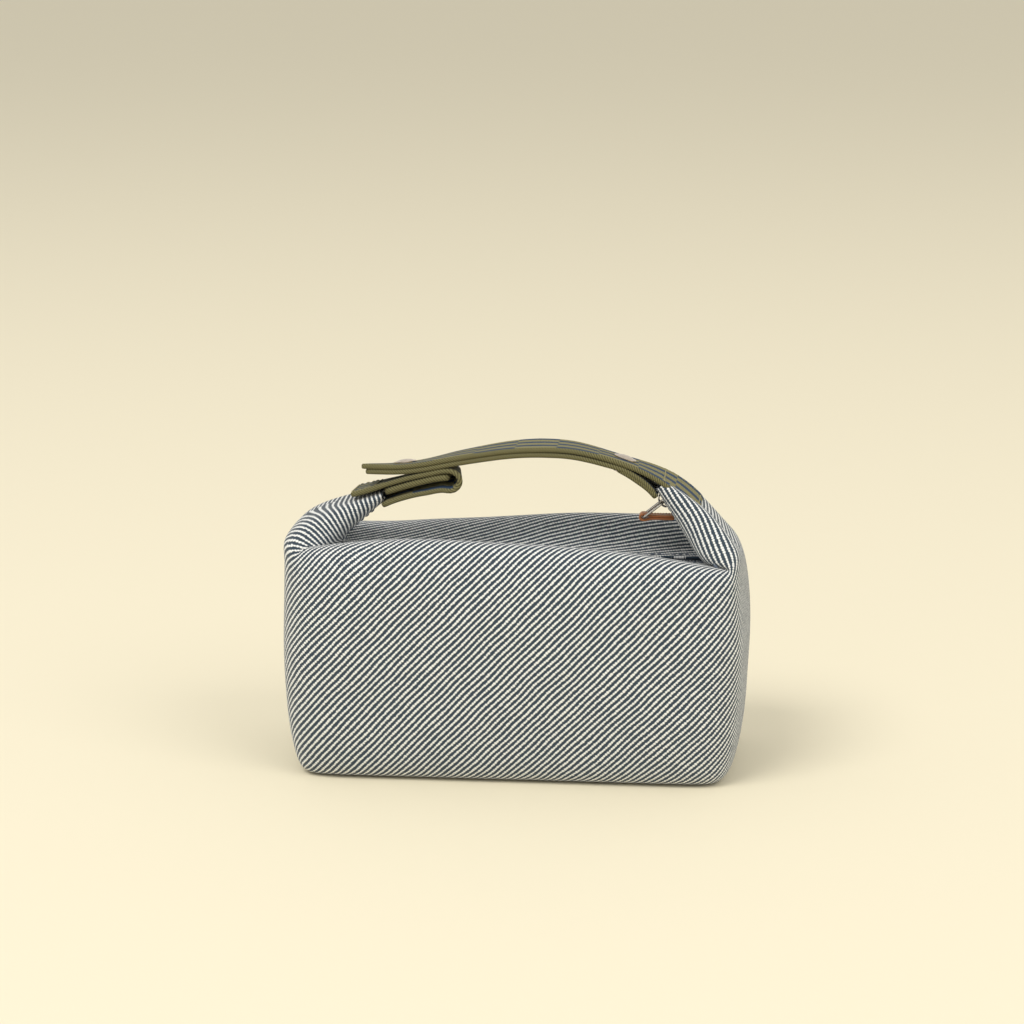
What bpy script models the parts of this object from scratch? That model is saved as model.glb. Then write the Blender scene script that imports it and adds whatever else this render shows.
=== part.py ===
"""Zipped travel pouch of thick twill with two raised corners and a snap-on webbing handle.

Metres, +Z up. X runs along the pouch, the front is at -Y, and the origin is the middle of the
underside. The cloth is cut as one front and one back panel. Each is drawn as a coarse cage that
Catmull-Clark subdivision rounds off, and then given its thickness.
"""

import math

import bmesh
import bpy
import numpy as np
from mathutils import Matrix, Vector

# ---- Driving sizes -------------------------------------------------------------------------
BODY_LENGTH = 0.230  # widest, at mid height
BODY_DEPTH = 0.104  # widest, at mid height
WALL_HEIGHT = 0.108  # from the floor to the top edge of the side walls
BASE_LENGTH = 0.214
BASE_DEPTH = 0.090
CORNER_ROUNDING = 0.009  # how far the upright corners draw in from the square
BASE_CREASE = 0.45  # how crisp the base's front and back edges are, from 0 to 1
RIDGE_RISE = 0.0085  # how far the puffed top stands over the top edge
VALLEY_DROP = 0.005  # how far the zip lies under the top edge, mid length
CLOTH = 0.0014
LINING = 0.0006
LINING_GAP = 0.003
SEAM_GAP = 0.0003  # between two panels that are sewn edge to edge
FIT_GAP = 0.0003  # between pieces that lie on each other

ZIP_OPENING = 0.010  # between the folded cloth edges
TAPE = 0.0007
TAPE_INNER = 0.0024  # from the middle of the zip to the tape's edge
CHAIN_INNER = 0.00095  # leaves a slot for the slider's wedge
CHAIN_WIDTH = 0.00115
CHAIN_HEIGHT = 0.0012
STOP_LENGTH = 0.0024
STOP_FROM_END = 0.0008
CHAIN_FROM_STOP = 0.0006

WEBBING_WIDTH = 0.030
WEBBING = 0.0025  # one layer
TAB_CORE = 0.0028
TAB_CORE_INSET = 0.0005  # of the core's edges from the webbing's
HORN_END = 0.0050  # thickness of the cloth where the webbing takes hold of it
HORN_END_WIDTH = 0.028
LEFT_GRIP_TOP = 0.0150  # how far the left tab laps the top of its horn
LEFT_GRIP_UNDER = 0.0055
LEFT_FOLD_CLEAR = 0.0020  # how far past the horn's end the lower leg starts to bend down
RIGHT_GRIP = 0.0030
RIGHT_TAB = 0.0044  # thickness of the folded webbing under the right horn

SNAP_CAP_RADIUS = 0.0055
SNAP_CAP_HEIGHT = 0.0016
SNAP_SHAFT_RADIUS = 0.0016
SNAP_STUD_RADIUS = 0.0021
SNAP_STUD_RISE = 0.0013  # how far the stud reaches into the socket
SNAP_FLANGE_RADIUS = 0.0040
SNAP_FLANGE = 0.0010
SNAP_SOCKET_RADIUS = 0.0048
SNAP_CLEARANCE = 0.0006
SNAP_SOCKET_FLOOR = 0.0006
STUD_CHAMFER = 0.0004
SNAP_FROM_END = 0.0225  # from the handle's free end to the left snap
RIVET_FROM_HINGE = 0.0105  # from the handle's hinge to the right snap
WASHER_RADIUS = 0.0045
WASHER = 0.0010

SLIDER_LENGTH = 0.0090
SLIDER_WIDTH = 0.0084
SLIDER_PLATE = 0.0008
SLIDER_WEDGE = 0.0011
SLIDER_FROM_HORN_END = 0.0086
CROWN_LENGTH = 0.0064
CROWN_WIDTH = 0.0018
CROWN_HEIGHT = 0.0030
EYE_SLACK = 0.0010  # room for the link along the slider, at each side
LINK_LENGTH = 0.0125  # between the two bars' axes
LINK_WIDTH = 0.0078  # between the two sides' axes
LINK_WIRE = 0.0012
LINK_CORNER = 0.0015
LINK_ANGLE = 219.0  # degrees in the XZ plane, from +X towards +Z
LEATHER_LENGTH = 0.0152
LEATHER_WIDTH = 0.0060
LEATHER = 0.0011  # one layer
LEATHER_ANGLE = 0.0

# The horns, per station from the root to the end: where the seam passes (X, Z), where the zip
# line passes, and the half width. X counts from the end wall and Z from the walls' top edge.
# On the right the zip runs straight, so its places are distances down from the horn's end.
LEFT_HORN = [
    ((0.0000, 0.0105), (0.0274, 0.0040), 0.039),
    ((0.0104, 0.0195), (0.0319, 0.0095), 0.029),
    ((0.0254, 0.0235), (0.0379, 0.0145), 0.021),
    ((0.0474, 0.0285), None, HORN_END_WIDTH / 2),
]
RIGHT_HORN = [
    ((0.0090, 0.0085), 0.0395, 0.041),
    ((0.0170, 0.0185), 0.0310, 0.032),
    ((0.0260, 0.0260), 0.0195, 0.023),
    ((0.0429, 0.0360), 0.0, HORN_END_WIDTH / 2),
]
HORN_END_TILT = {"left": 20.0, "right": 35.0}  # degrees that the cloth end rises inwards
RIGHT_ZIP_SLOPE = 55.0  # degrees
ZIP_FOOT = {"left": 0.0274, "right": 0.0184}  # from the end wall to where the zip leaves the top

# Handle, the middle of its two layers: how far inside that side's horn end, and the height over
# the walls' top edge.
HANDLE_LEFT = [(-0.0100, 0.0376), (0.0110, 0.0381), (0.0330, 0.0424)]
HANDLE_RIGHT = [(0.0555, 0.0493), (0.0205, 0.0428)]
HINGE = (0.0070, 0.0386)
TAB_END = 0.0370  # how far inside the left horn's end the folded tab reaches
STRAP_LENGTH = 0.0270  # of the strap that is sewn along the right horn
RIGHT_TAB_TAIL = 0.0045  # how far the webbing under the right horn runs on below the handle
HANDLE_STEP = 0.0040  # between two cross sections

ACROSS = Vector((0, 1, 0))


# ---- Materials and mesh helpers ------------------------------------------------------------
def material(name, colour, roughness, metallic=0.0):
    made = bpy.data.materials.new(name)
    made.use_nodes = True
    shader = made.node_tree.nodes["Principled BSDF"]
    shader.inputs["Base Color"].default_value = (*colour, 1.0)
    shader.inputs["Roughness"].default_value = roughness
    shader.inputs["Metallic"].default_value = metallic
    return made


def add_object(name, mesh, finish):
    mesh.materials.clear()
    mesh.materials.append(finish)
    made = bpy.data.objects.new(name, mesh)
    bpy.context.scene.collection.objects.link(made)
    return made


def mesh_from(name, points, faces, smooth_angle=40.0):
    mesh = bpy.data.meshes.new(name)
    mesh.from_pydata([tuple(point) for point in points], [], faces)
    cleaner = bmesh.new()
    cleaner.from_mesh(mesh)
    bmesh.ops.recalc_face_normals(cleaner, faces=cleaner.faces)
    cleaner.to_mesh(mesh)
    cleaner.free()
    mesh.shade_smooth()
    mesh.set_sharp_from_angle(angle=math.radians(smooth_angle))
    return mesh


def curve_through(points, step):
    """Points every step along a natural cubic spline through the given ones."""
    knots = np.array(points, float)
    lengths = np.linalg.norm(np.diff(knots, axis=0), axis=1)
    at = np.concatenate([[0.0], np.cumsum(lengths)])
    count = len(knots)
    system = np.zeros((count, count))
    wanted = np.zeros((count, knots.shape[1]))
    system[0, 0] = 1.0
    system[-1, -1] = 1.0
    for i in range(1, count - 1):
        before = at[i] - at[i - 1]
        after = at[i + 1] - at[i]
        system[i, i - 1 : i + 2] = before, 2 * (before + after), after
        wanted[i] = 6 * ((knots[i + 1] - knots[i]) / after - (knots[i] - knots[i - 1]) / before)
    bend = np.linalg.solve(system, wanted)
    fine = np.linspace(0, at[-1], 400)
    span = np.clip(np.searchsorted(at, fine) - 1, 0, count - 2)
    width = (at[span + 1] - at[span])[:, None]
    right = (fine - at[span])[:, None]
    left = width - right
    dense = (
        bend[span] * left**3 / (6 * width)
        + bend[span + 1] * right**3 / (6 * width)
        + (knots[span] / width - bend[span] * width / 6) * left
        + (knots[span + 1] / width - bend[span + 1] * width / 6) * right
    )
    return even_points(dense, step)


def even_points(points, step):
    points = np.array(points, float)
    along = np.concatenate([[0.0], np.cumsum(np.linalg.norm(np.diff(points, axis=0), axis=1))])
    pieces = max(2, round(along[-1] / step))
    wanted = np.linspace(0, along[-1], pieces + 1)
    return np.stack([np.interp(wanted, along, points[:, k]) for k in range(points.shape[1])], axis=1)


def path_normals(path):
    """Left-hand normals of a path in the XZ plane; they point up where it runs towards +X."""
    tangent = np.gradient(path, axis=0)
    tangent /= np.linalg.norm(tangent, axis=1)[:, None]
    return np.stack([-tangent[:, 1], tangent[:, 0]], axis=1)


def offset_path(path, distance):
    return path + path_normals(path) * distance


def ribbon(name, path, width, thickness, finish):
    """A flat strap along path, whose rows are X and Z."""
    edge = thickness * 0.32
    half_width = width / 2
    half = thickness / 2
    profile = [
        (-half_width, -half + edge),
        (-half_width + edge, -half),
        (half_width - edge, -half),
        (half_width, -half + edge),
        (half_width, half - edge),
        (half_width - edge, half),
        (-half_width + edge, half),
        (-half_width, half - edge),
    ]
    points = []
    for (x, z), (normal_x, normal_z) in zip(path, path_normals(path)):
        for y, up in profile:
            points.append((x + normal_x * up, y, z + normal_z * up))
    sides = len(profile)
    rings = len(path)
    faces = [tuple(range(sides)), tuple(range((rings - 1) * sides, rings * sides))]
    for ring in range(rings - 1):
        for side in range(sides):
            here = ring * sides + side
            there = ring * sides + (side + 1) % sides
            faces.append((here, there, there + sides, here + sides))
    return add_object(name, mesh_from(name, points, faces), finish)


def frame_at(path, index):
    """Matrix whose X runs along the path, Y across the strap and Z out of its face."""
    x, z = path[index]
    normal_x, normal_z = path_normals(path)[index]
    normal = Vector((normal_x, 0, normal_z))
    axes = Matrix((ACROSS.cross(normal), ACROSS, normal)).transposed()
    return Matrix.Translation((x, 0, z)) @ axes.to_4x4()


def index_at(path, distance):
    """Index of the path's point nearest to a distance from its start, or from its end if negative."""
    along = np.concatenate([[0.0], np.cumsum(np.linalg.norm(np.diff(path, axis=0), axis=1))])
    wanted = distance if distance >= 0 else along[-1] + distance
    return int(np.abs(along - wanted).argmin())


def turned(name, outline, place, finish, segments=24):
    """A solid of revolution about the local Z of place. Outline is (radius, height), closed."""
    points = []
    for step in range(segments):
        angle = 2 * math.pi * step / segments
        for radius, height in outline:
            points.append(place @ Vector((radius * math.cos(angle), radius * math.sin(angle), height)))
    rows = len(outline)
    faces = []
    for step in range(segments):
        after = (step + 1) % segments
        for row in range(rows):
            up = (row + 1) % rows
            faces.append((step * rows + row, after * rows + row, after * rows + up, step * rows + up))
    mesh = mesh_from(name, points, faces)
    joiner = bmesh.new()
    joiner.from_mesh(mesh)
    bmesh.ops.remove_doubles(joiner, verts=joiner.verts, dist=1e-6)
    bmesh.ops.dissolve_degenerate(joiner, edges=joiner.edges, dist=1e-6)
    bmesh.ops.recalc_face_normals(joiner, faces=joiner.faces)
    joiner.to_mesh(mesh)
    joiner.free()
    return add_object(name, mesh, finish)


def box(name, low, high, place, finish=None):
    corners = [(x, y, z) for x in (low[0], high[0]) for y in (low[1], high[1]) for z in (low[2], high[2])]
    faces = [(0, 1, 3, 2), (4, 6, 7, 5), (0, 4, 5, 1), (2, 3, 7, 6), (0, 2, 6, 4), (1, 5, 7, 3)]
    mesh = mesh_from(name, [place @ Vector(corner) for corner in corners], faces, 30.0)
    return add_object(name, mesh, finish)


def rod(name, start, end, radius, finish=None, segments=24):
    axis = end - start
    place = Matrix.Translation(start) @ axis.to_track_quat("Z", "Y").to_matrix().to_4x4()
    outline = [(0.0, 0.0), (radius, 0.0), (radius, axis.length), (0.0, axis.length)]
    return turned(name, outline, place, finish, segments)


def combine(target, tool, operation):
    tool.hide_render = True
    tool.display_type = "WIRE"
    change = target.modifiers.new(operation.title(), "BOOLEAN")
    change.operation = operation
    change.object = tool
    return target


# ---- The cloth cage ------------------------------------------------------------------------
FRONT_COLUMNS = (-1.0, -0.83, -0.42, 0.0, 0.42, 0.83, 1.0)  # shares of the half length
SIDE_SPLITS = 3
SIDE_BOW = (0.35, 0.08, 0.0)  # shares of the corner rounding along an end, from its corner to its middle
WALL_ROWS = (0.0, 0.13, 0.42, 0.75, 1.0)  # shares of the wall height
BULGE = (0.0, 0.55, 1.0, 0.97, 0.80)  # from the base size to the mid size, at those rows
ROUNDING = (0.5, 0.8, 1.0, 1.0, 1.0)  # shares of the corner rounding, at those rows
TOP_ROWS = (1.0, 0.68, 0.40, 0.25)  # shares of the half depth, before the zip edge
TOP_RISE = (0.0, 1.0, 0.35, 0.0)  # shares of the ridge rise
TOP_DROP = (0.0, 0.0, 0.55, 1.0)  # shares of the valley drop
TOP_SPLITS = len(TOP_ROWS)
HORN_SPLITS = SIDE_SPLITS + TOP_SPLITS


def wall_size(row):
    share = BULGE[row]
    half_length = (BASE_LENGTH + (BODY_LENGTH - BASE_LENGTH) * share) / 2
    half_depth = (BASE_DEPTH + (BODY_DEPTH - BASE_DEPTH) * share) / 2
    return half_length, half_depth, WALL_ROWS[row] * WALL_HEIGHT


def horn_stations(left):
    """Per station: seam point, zip point and half width, with X signed."""
    label = "left" if left else "right"
    stations = LEFT_HORN if left else RIGHT_HORN
    tilt = math.radians(HORN_END_TILT[label])
    slope = math.radians(RIGHT_ZIP_SLOPE)
    wall_x = wall_size(len(WALL_ROWS) - 1)[0]
    sign = -1.0 if left else 1.0
    end_x, end_z = stations[-1][0]
    end_x += HORN_END * math.sin(tilt)
    end_z -= HORN_END * math.cos(tilt)
    found = []
    for seam, zip_place, half_width in stations:
        if zip_place is None:
            zip_point = (end_x, end_z)
        elif isinstance(zip_place, float):
            zip_point = (end_x - zip_place * math.cos(slope), end_z - zip_place * math.sin(slope))
        else:
            zip_point = zip_place
        ends = [(sign * (wall_x - x), WALL_HEIGHT + z) for x, z in (seam, zip_point)]
        found.append((ends[0], ends[1], half_width))
    return found


def panel_cage(side):
    """Cage of the front (side -1) or back (side 1) panel: points, quads and the named loops."""
    points = []
    index = {}
    faces = []
    edge = SEAM_GAP / 2

    def put(key, x, y, z):
        index[key] = len(points)
        points.append((x, side * max(y, edge), z))

    last_column = len(FRONT_COLUMNS) - 1
    last_row = len(WALL_ROWS) - 1
    for row in range(last_row + 1):
        half_length, half_depth, height = wall_size(row)
        inset = CORNER_ROUNDING * ROUNDING[row]
        for column, share in enumerate(FRONT_COLUMNS):
            at_corner = column in (0, last_column)
            x = share * (half_length - inset if at_corner else half_length - inset / 2)
            put(("wall", column, row), x, half_depth - 0.7 * inset if at_corner else half_depth, height)
        for left in (True, False):
            for step in range(1, SIDE_SPLITS + 1):
                x = half_length - inset * SIDE_BOW[step - 1]
                y = half_depth * (1 - step / SIDE_SPLITS)
                put(("side", left, step, row), -x if left else x, y, height)

    half_length, half_depth, _ = wall_size(0)
    for step in range(1, SIDE_SPLITS + 1):
        for column in range(1, last_column):
            x = FRONT_COLUMNS[column] * half_length
            put(("base", column, step), x, half_depth * (1 - step / SIDE_SPLITS), 0.0)
        index["base", 0, step] = index["side", True, step, 0]
        index["base", last_column, step] = index["side", False, step, 0]

    half_length, half_depth, height = wall_size(last_row)
    for step in range(1, TOP_SPLITS + 1):
        at_zip = step == TOP_SPLITS
        share = step / TOP_SPLITS
        y = ZIP_OPENING / 2 if at_zip else TOP_ROWS[step] * half_depth
        rise = 0.0 if at_zip else TOP_RISE[step]
        drop = 1.0 if at_zip else TOP_DROP[step]
        for column, along in enumerate(FRONT_COLUMNS):
            at_end = column in (0, last_column)
            foot = ZIP_FOOT["left" if along < 0 else "right"]
            reach = half_length - foot * math.sin(share * math.pi / 2)
            x = along * (reach if at_end else min(half_length, reach * 1.06))
            lift = 0.35 * RIDGE_RISE * rise if at_end else RIDGE_RISE * rise
            put(("top", column, step), x, y, height + lift - VALLEY_DROP * drop)

    def wall_key(column, row):
        return ("wall", column, row)

    def side_key(left, step, row):
        return ("side", left, step, row) if step else ("wall", 0 if left else last_column, row)

    def base_key(column, step):
        return ("base", column, step) if step else ("wall", column, 0)

    def top_key(column, step):
        return ("top", column, step) if step else ("wall", column, last_row)

    def horn_key(left, station, place):
        if station:
            return ("horn", left, station, place)
        if place <= SIDE_SPLITS:
            return side_key(left, SIDE_SPLITS - place, last_row)
        return top_key(0 if left else last_column, place - SIDE_SPLITS)

    for left in (True, False):
        for station, (seam, zip_point, half_width) in enumerate(horn_stations(left), 1):
            for place in range(HORN_SPLITS + 1):
                outer = place <= SIDE_SPLITS
                if outer:
                    across = (0.0, 0.55, 0.92, 1.0)[place]
                    towards_zip = (0.0, 0.0, 0.12, 0.5)[place]
                else:
                    across = (0.93, 0.68, 0.40, 0.0)[place - SIDE_SPLITS - 1]
                    towards_zip = (0.85, 1.0, 1.0, 1.0)[place - SIDE_SPLITS - 1]
                x = seam[0] + (zip_point[0] - seam[0]) * towards_zip
                z = seam[1] + (zip_point[1] - seam[1]) * towards_zip
                y = max(across * half_width, 0.0 if outer else ZIP_OPENING / 2)
                put(("horn", left, station, place), x, y, z)

    def quad(*keys):
        faces.append(tuple(index[key] for key in keys))

    for row in range(last_row):
        for column in range(last_column):
            quad(wall_key(column, row), wall_key(column + 1, row),
                 wall_key(column + 1, row + 1), wall_key(column, row + 1))
        for left in (True, False):
            for step in range(SIDE_SPLITS):
                quad(side_key(left, step, row), side_key(left, step, row + 1),
                     side_key(left, step + 1, row + 1), side_key(left, step + 1, row))
    for column in range(last_column):
        for step in range(SIDE_SPLITS):
            quad(base_key(column, step), base_key(column, step + 1),
                 base_key(column + 1, step + 1), base_key(column + 1, step))
        for step in range(TOP_SPLITS):
            quad(top_key(column, step), top_key(column + 1, step),
                 top_key(column + 1, step + 1), top_key(column, step + 1))
    for left in (True, False):
        for station in range(len(LEFT_HORN)):
            for place in range(HORN_SPLITS):
                quad(horn_key(left, station, place), horn_key(left, station + 1, place),
                     horn_key(left, station + 1, place + 1), horn_key(left, station, place + 1))

    loops = {
        "zip": [index["horn", True, station, HORN_SPLITS] for station in range(len(LEFT_HORN), 0, -1)]
        + [index["top", column, TOP_SPLITS] for column in range(last_column + 1)]
        + [index["horn", False, station, HORN_SPLITS] for station in range(1, len(LEFT_HORN) + 1)],
        "base_edge": [index[wall_key(column, 0)] for column in range(last_column + 1)],
        "body": [number for key, number in index.items() if key[0] != "horn" or key[2] == 1],
    }
    return points, faces, loops


def rounded_cage(side):
    """The cage after one Catmull-Clark step, as arrays, with outward normals."""
    points, faces, loops = panel_cage(side)
    mesh = bpy.data.meshes.new("cage")
    mesh.from_pydata(points, [], faces)
    maker = bmesh.new()
    maker.from_mesh(mesh)
    bmesh.ops.recalc_face_normals(maker, faces=maker.faces)
    maker.to_mesh(mesh)
    maker.free()
    crease = mesh.attributes.new("crease_edge", "FLOAT", "EDGE")
    base_edge = set(loops["base_edge"])
    for edge in mesh.edges:
        if set(edge.vertices) <= base_edge:
            crease.data[edge.index].value = BASE_CREASE
    holder = bpy.data.objects.new("cage", mesh)
    bpy.context.scene.collection.objects.link(holder)
    rounding = holder.modifiers.new("Rounding", "SUBSURF")
    rounding.levels = 1
    rounding.render_levels = 1
    rounding.boundary_smooth = "PRESERVE_CORNERS"
    graph = bpy.context.evaluated_depsgraph_get()
    fine = bpy.data.meshes.new_from_object(holder.evaluated_get(graph))
    bpy.data.objects.remove(holder)
    spots = np.array([vertex.co for vertex in fine.vertices])
    quads = [tuple(face.vertices) for face in fine.polygons]
    fixed = {"cage_count": len(points), "cage_faces": [tuple(face.vertices) for face in mesh.polygons]}
    return spots, quads, {**loops, **fixed}


def open_edges(faces):
    """Directed edges that only one face has."""
    edges = {}
    for face in faces:
        for a, b in zip(face, face[1:] + face[:1]):
            edges[a, b] = edges.get((a, b), 0) + 1
    return [(a, b) for (a, b) in edges if (b, a) not in edges]


def vertex_normals(points, faces):
    normals = np.zeros_like(points)
    for face in faces:
        corner = points[list(face)]
        area = np.cross(corner[2] - corner[0], corner[3] - corner[1])
        normals[list(face)] += area
    lengths = np.linalg.norm(normals, axis=1)
    lengths[lengths == 0] = 1.0
    return normals / lengths[:, None]


def outward(points, faces):
    """Faces turned so that the panel's outside is their front."""
    middle = np.array([0.0, 0.0, WALL_HEIGHT / 2])
    votes = 0.0
    for face in faces:
        corner = points[list(face)]
        area = np.cross(corner[2] - corner[0], corner[3] - corner[1])
        votes += float(area @ (corner.mean(axis=0) - middle))
    return faces if votes > 0 else [face[::-1] for face in faces]


def sheet_normals(points, faces):
    """Vertex normals; on the seams they stay in the seam's own plane."""
    normals = vertex_normals(points, faces)
    rim = {v for edge in open_edges(faces) for v in edge}
    for vertex in rim:
        if abs(points[vertex][1]) < SEAM_GAP:
            normals[vertex][1] = 0.0
            normals[vertex] /= np.linalg.norm(normals[vertex])
    return normals


def shell(name, points, faces, normals, outer, inner, finish):
    """A closed skin between two offsets of a sheet; offsets count along the outward normal."""
    count = len(points)
    both = np.concatenate([points + normals * outer, points + normals * inner])
    shell_faces = list(faces)
    shell_faces += [tuple(v + count for v in face[::-1]) for face in faces]
    for a, b in open_edges(faces):
        shell_faces.append((b, a, a + count, b + count))
    used = sorted({v for face in shell_faces for v in face})
    renumber = {old: new for new, old in enumerate(used)}
    kept = [tuple(renumber[v] for v in face) for face in shell_faces]
    return add_object(name, mesh_from(name, both[used], kept, 50.0), finish)


# ---- Cloth, lining and zip -----------------------------------------------------------------
def zip_edge(points, faces, loops):
    """Vertices along the cloth's zip edge from the left horn's end to the right horn's."""
    following = dict(open_edges(faces))
    off_edge = abs(points[following[loops["zip"][0]]][1]) - ZIP_OPENING / 2
    if abs(off_edge) > 1e-6:
        following = {b: a for a, b in following.items()}
    start = loops["zip"][0]
    end = loops["zip"][-1]
    order = [start]
    while order[-1] != end:
        order.append(following[order[-1]])
    return order


def next_row(order, faces):
    """For each vertex of the zip edge, its neighbour one quad further into the cloth."""
    on_edge = set(order)
    inward = {}
    for face in faces:
        for a, b in zip(face, face[1:] + face[:1]):
            if (a in on_edge) != (b in on_edge):
                outer, inner = (a, b) if a in on_edge else (b, a)
                inward[outer] = inner
    return [inward[vertex] for vertex in order]


def make_panel(side, label, finishes):
    """One cloth panel with its lining and zip tape. It gives the cloth's edge at the zip as X, Z."""
    points, faces, loops = rounded_cage(side)
    faces = outward(points, faces)
    normals = sheet_normals(points, faces)
    shell(label + "_panel", points, faces, normals, 0.0, -CLOTH, finishes["cloth"])

    body = set(loops["body"])
    coarse = outward(points, [face for face in loops["cage_faces"] if set(face) <= body])
    coarse_normals = sheet_normals(points, coarse)
    outer = -(CLOTH + LINING_GAP)
    shell("lining_" + label, points, coarse, coarse_normals, outer, outer - LINING, finishes["lining"])

    edge = zip_edge(points, faces, loops)
    inner_row = next_row(edge, faces)
    flat_normals = normals[edge] * (1, 0, 1)
    flat_normals /= np.linalg.norm(flat_normals, axis=1)[:, None]
    tape_points = np.concatenate([points[edge] * (1, 0, 1) + (0, side * TAPE_INNER, 0),
                                  points[edge], points[inner_row]])
    tape_normals = np.concatenate([flat_normals, flat_normals, normals[inner_row]])
    count = len(edge)
    strip = []
    for column in range(2):
        for i in range(count - 1):
            here = column * count + i
            strip.append((here, here + 1, here + 1 + count, here + count))
    if side > 0:
        strip = [face[::-1] for face in strip]
    outer = -(CLOTH + FIT_GAP)
    shell("zip_tape_" + label, tape_points, strip, tape_normals, outer, outer - TAPE, finishes["tape"])
    return points[edge][:, [0, 2]]


def chain_level():
    """How deep the middle of the chain lies under the cloth's face."""
    return CLOTH + FIT_GAP + TAPE / 2


def bar_along(name, path, low, high, height, finish):
    """A bar that follows path, between two places across it."""
    points = []
    for (x, z), (normal_x, normal_z) in zip(path, path_normals(path)):
        for y, up in ((low, -height / 2), (high, -height / 2), (high, height / 2), (low, height / 2)):
            points.append((x + normal_x * up, y, z + normal_z * up))
    rings = len(path)
    faces = [(0, 1, 2, 3), tuple(4 * (rings - 1) + k for k in range(4))]
    for ring in range(rings - 1):
        for side in range(4):
            here = 4 * ring + side
            there = 4 * ring + (side + 1) % 4
            faces.append((here, there, there + 4, here + 4))
    return add_object(name, mesh_from(name, points, faces, 30.0), finish)


def make_zip(cloth_edge, finishes):
    """The two chains and the stops at their ends."""
    line = even_points(cloth_edge, 0.0012)
    level = offset_path(line, -chain_level())
    first_stop = index_at(line, STOP_FROM_END)
    after_stop = index_at(line, STOP_FROM_END + STOP_LENGTH)
    last_stop = index_at(line, -STOP_FROM_END)
    before_stop = index_at(line, -STOP_FROM_END - STOP_LENGTH)
    half = CHAIN_INNER + CHAIN_WIDTH
    stops = (("zip_bottom_stop", first_stop, after_stop), ("zip_top_stop", before_stop, last_stop))
    for name, low, high in stops:
        bar_along(name, level[low : high + 1], -half, half, CHAIN_HEIGHT, finishes["metal"])
    start = index_at(line, STOP_FROM_END + STOP_LENGTH + CHAIN_FROM_STOP)
    end = index_at(line, -STOP_FROM_END - STOP_LENGTH - CHAIN_FROM_STOP)
    run = np.concatenate([level[start : end + 1 : 3], level[end : end + 1]])
    for label, side in (("front", -1), ("back", 1)):
        low, high = sorted((side * CHAIN_INNER, side * half))
        bar_along("zip_chain_" + label, run, low, high, CHAIN_HEIGHT, finishes["chain"])


# ---- Handle, tabs and snaps ----------------------------------------------------------------
def hinge_place():
    right_end = horn_stations(False)[-1][0][0]
    return right_end - HINGE[0], WALL_HEIGHT + HINGE[1]


def handle_line():
    """The handle's middle line as X, Z, from its free end to its hinge."""
    left_end = horn_stations(True)[-1][0][0]
    right_end = horn_stations(False)[-1][0][0]
    points = [(left_end + x, WALL_HEIGHT + z) for x, z in HANDLE_LEFT]
    points += [(right_end - x, WALL_HEIGHT + z) for x, z in HANDLE_RIGHT]
    return curve_through([*points, hinge_place()], HANDLE_STEP)


def snap_index(line):
    return index_at(line, SNAP_FROM_END)


def make_handle(finishes):
    line = handle_line()
    layer = (WEBBING + FIT_GAP) / 2
    cloth = finishes["webbing"]
    top = ribbon("handle_webbing_upper", offset_path(line, layer), WEBBING_WIDTH, WEBBING, cloth)
    under = ribbon("handle_webbing_lower", offset_path(line, -layer), WEBBING_WIDTH, WEBBING, cloth)
    face = WEBBING + FIT_GAP / 2
    cap_low = face + FIT_GAP
    hole = SNAP_SHAFT_RADIUS + FIT_GAP

    snap = frame_at(line, snap_index(line))
    socket_low = -face + FIT_GAP / 2
    socket_high = -FIT_GAP
    shaft_end = socket_high + FIT_GAP
    cap = snap_cap("left_snap_cap", snap, cap_low, shaft_end, finishes["metal"])
    recess = SNAP_STUD_RADIUS + SNAP_CLEARANCE
    floor = socket_high - SNAP_SOCKET_FLOOR
    socket = turned("left_snap_socket", [
        (recess, socket_low), (SNAP_SOCKET_RADIUS, socket_low), (SNAP_SOCKET_RADIUS, socket_high),
        (0.0, socket_high), (0.0, floor), (recess, floor)], snap, finishes["metal"])
    combine(top, cutter("cut_shaft_left", snap, hole), "DIFFERENCE")
    combine(under, cutter("cut_socket", snap, SNAP_SOCKET_RADIUS + FIT_GAP), "DIFFERENCE")

    rivet = frame_at(line, index_at(line, -RIVET_FROM_HINGE))
    washer_high = -face - FIT_GAP
    rivet_cap = snap_cap("right_snap_cap", rivet, cap_low, washer_high - WASHER, finishes["metal"])
    washer = turned("right_snap_washer", [
        (hole, washer_high - WASHER), (WASHER_RADIUS, washer_high - WASHER),
        (WASHER_RADIUS, washer_high), (hole, washer_high)], rivet, finishes["metal"])
    for strap in (top, under):
        combine(strap, cutter("cut_rivet_" + strap.name, rivet, hole), "DIFFERENCE")
    hinge_x, hinge_z = hinge_place()
    pieces = (top, under, cap, socket, rivet_cap, washer)
    hang_on("handle_hinge", Matrix.Translation((hinge_x, 0, hinge_z)), pieces)


def cutter(name, place, radius):
    reach = 0.010
    outline = [(0.0, -reach), (radius, -reach), (radius, reach), (0.0, reach)]
    return turned(name, outline, place, None, 20)


def snap_cap(name, place, low, shaft_end, finish):
    """A domed cap whose shaft goes down through the webbing."""
    rim = SNAP_CAP_HEIGHT * 0.35
    dome = [(SNAP_CAP_RADIUS * math.cos(a), rim + (SNAP_CAP_HEIGHT - rim) * math.sin(a))
            for a in (0.0, 0.45, 0.9, 1.25)]
    outline = [(0.0, shaft_end), (SNAP_SHAFT_RADIUS, shaft_end), (SNAP_SHAFT_RADIUS, low)]
    outline.append((SNAP_CAP_RADIUS, low))
    outline += [(radius, low + height) for radius, height in dome]
    outline.append((0.0, low + SNAP_CAP_HEIGHT))
    return turned(name, outline, place, finish)


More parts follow.
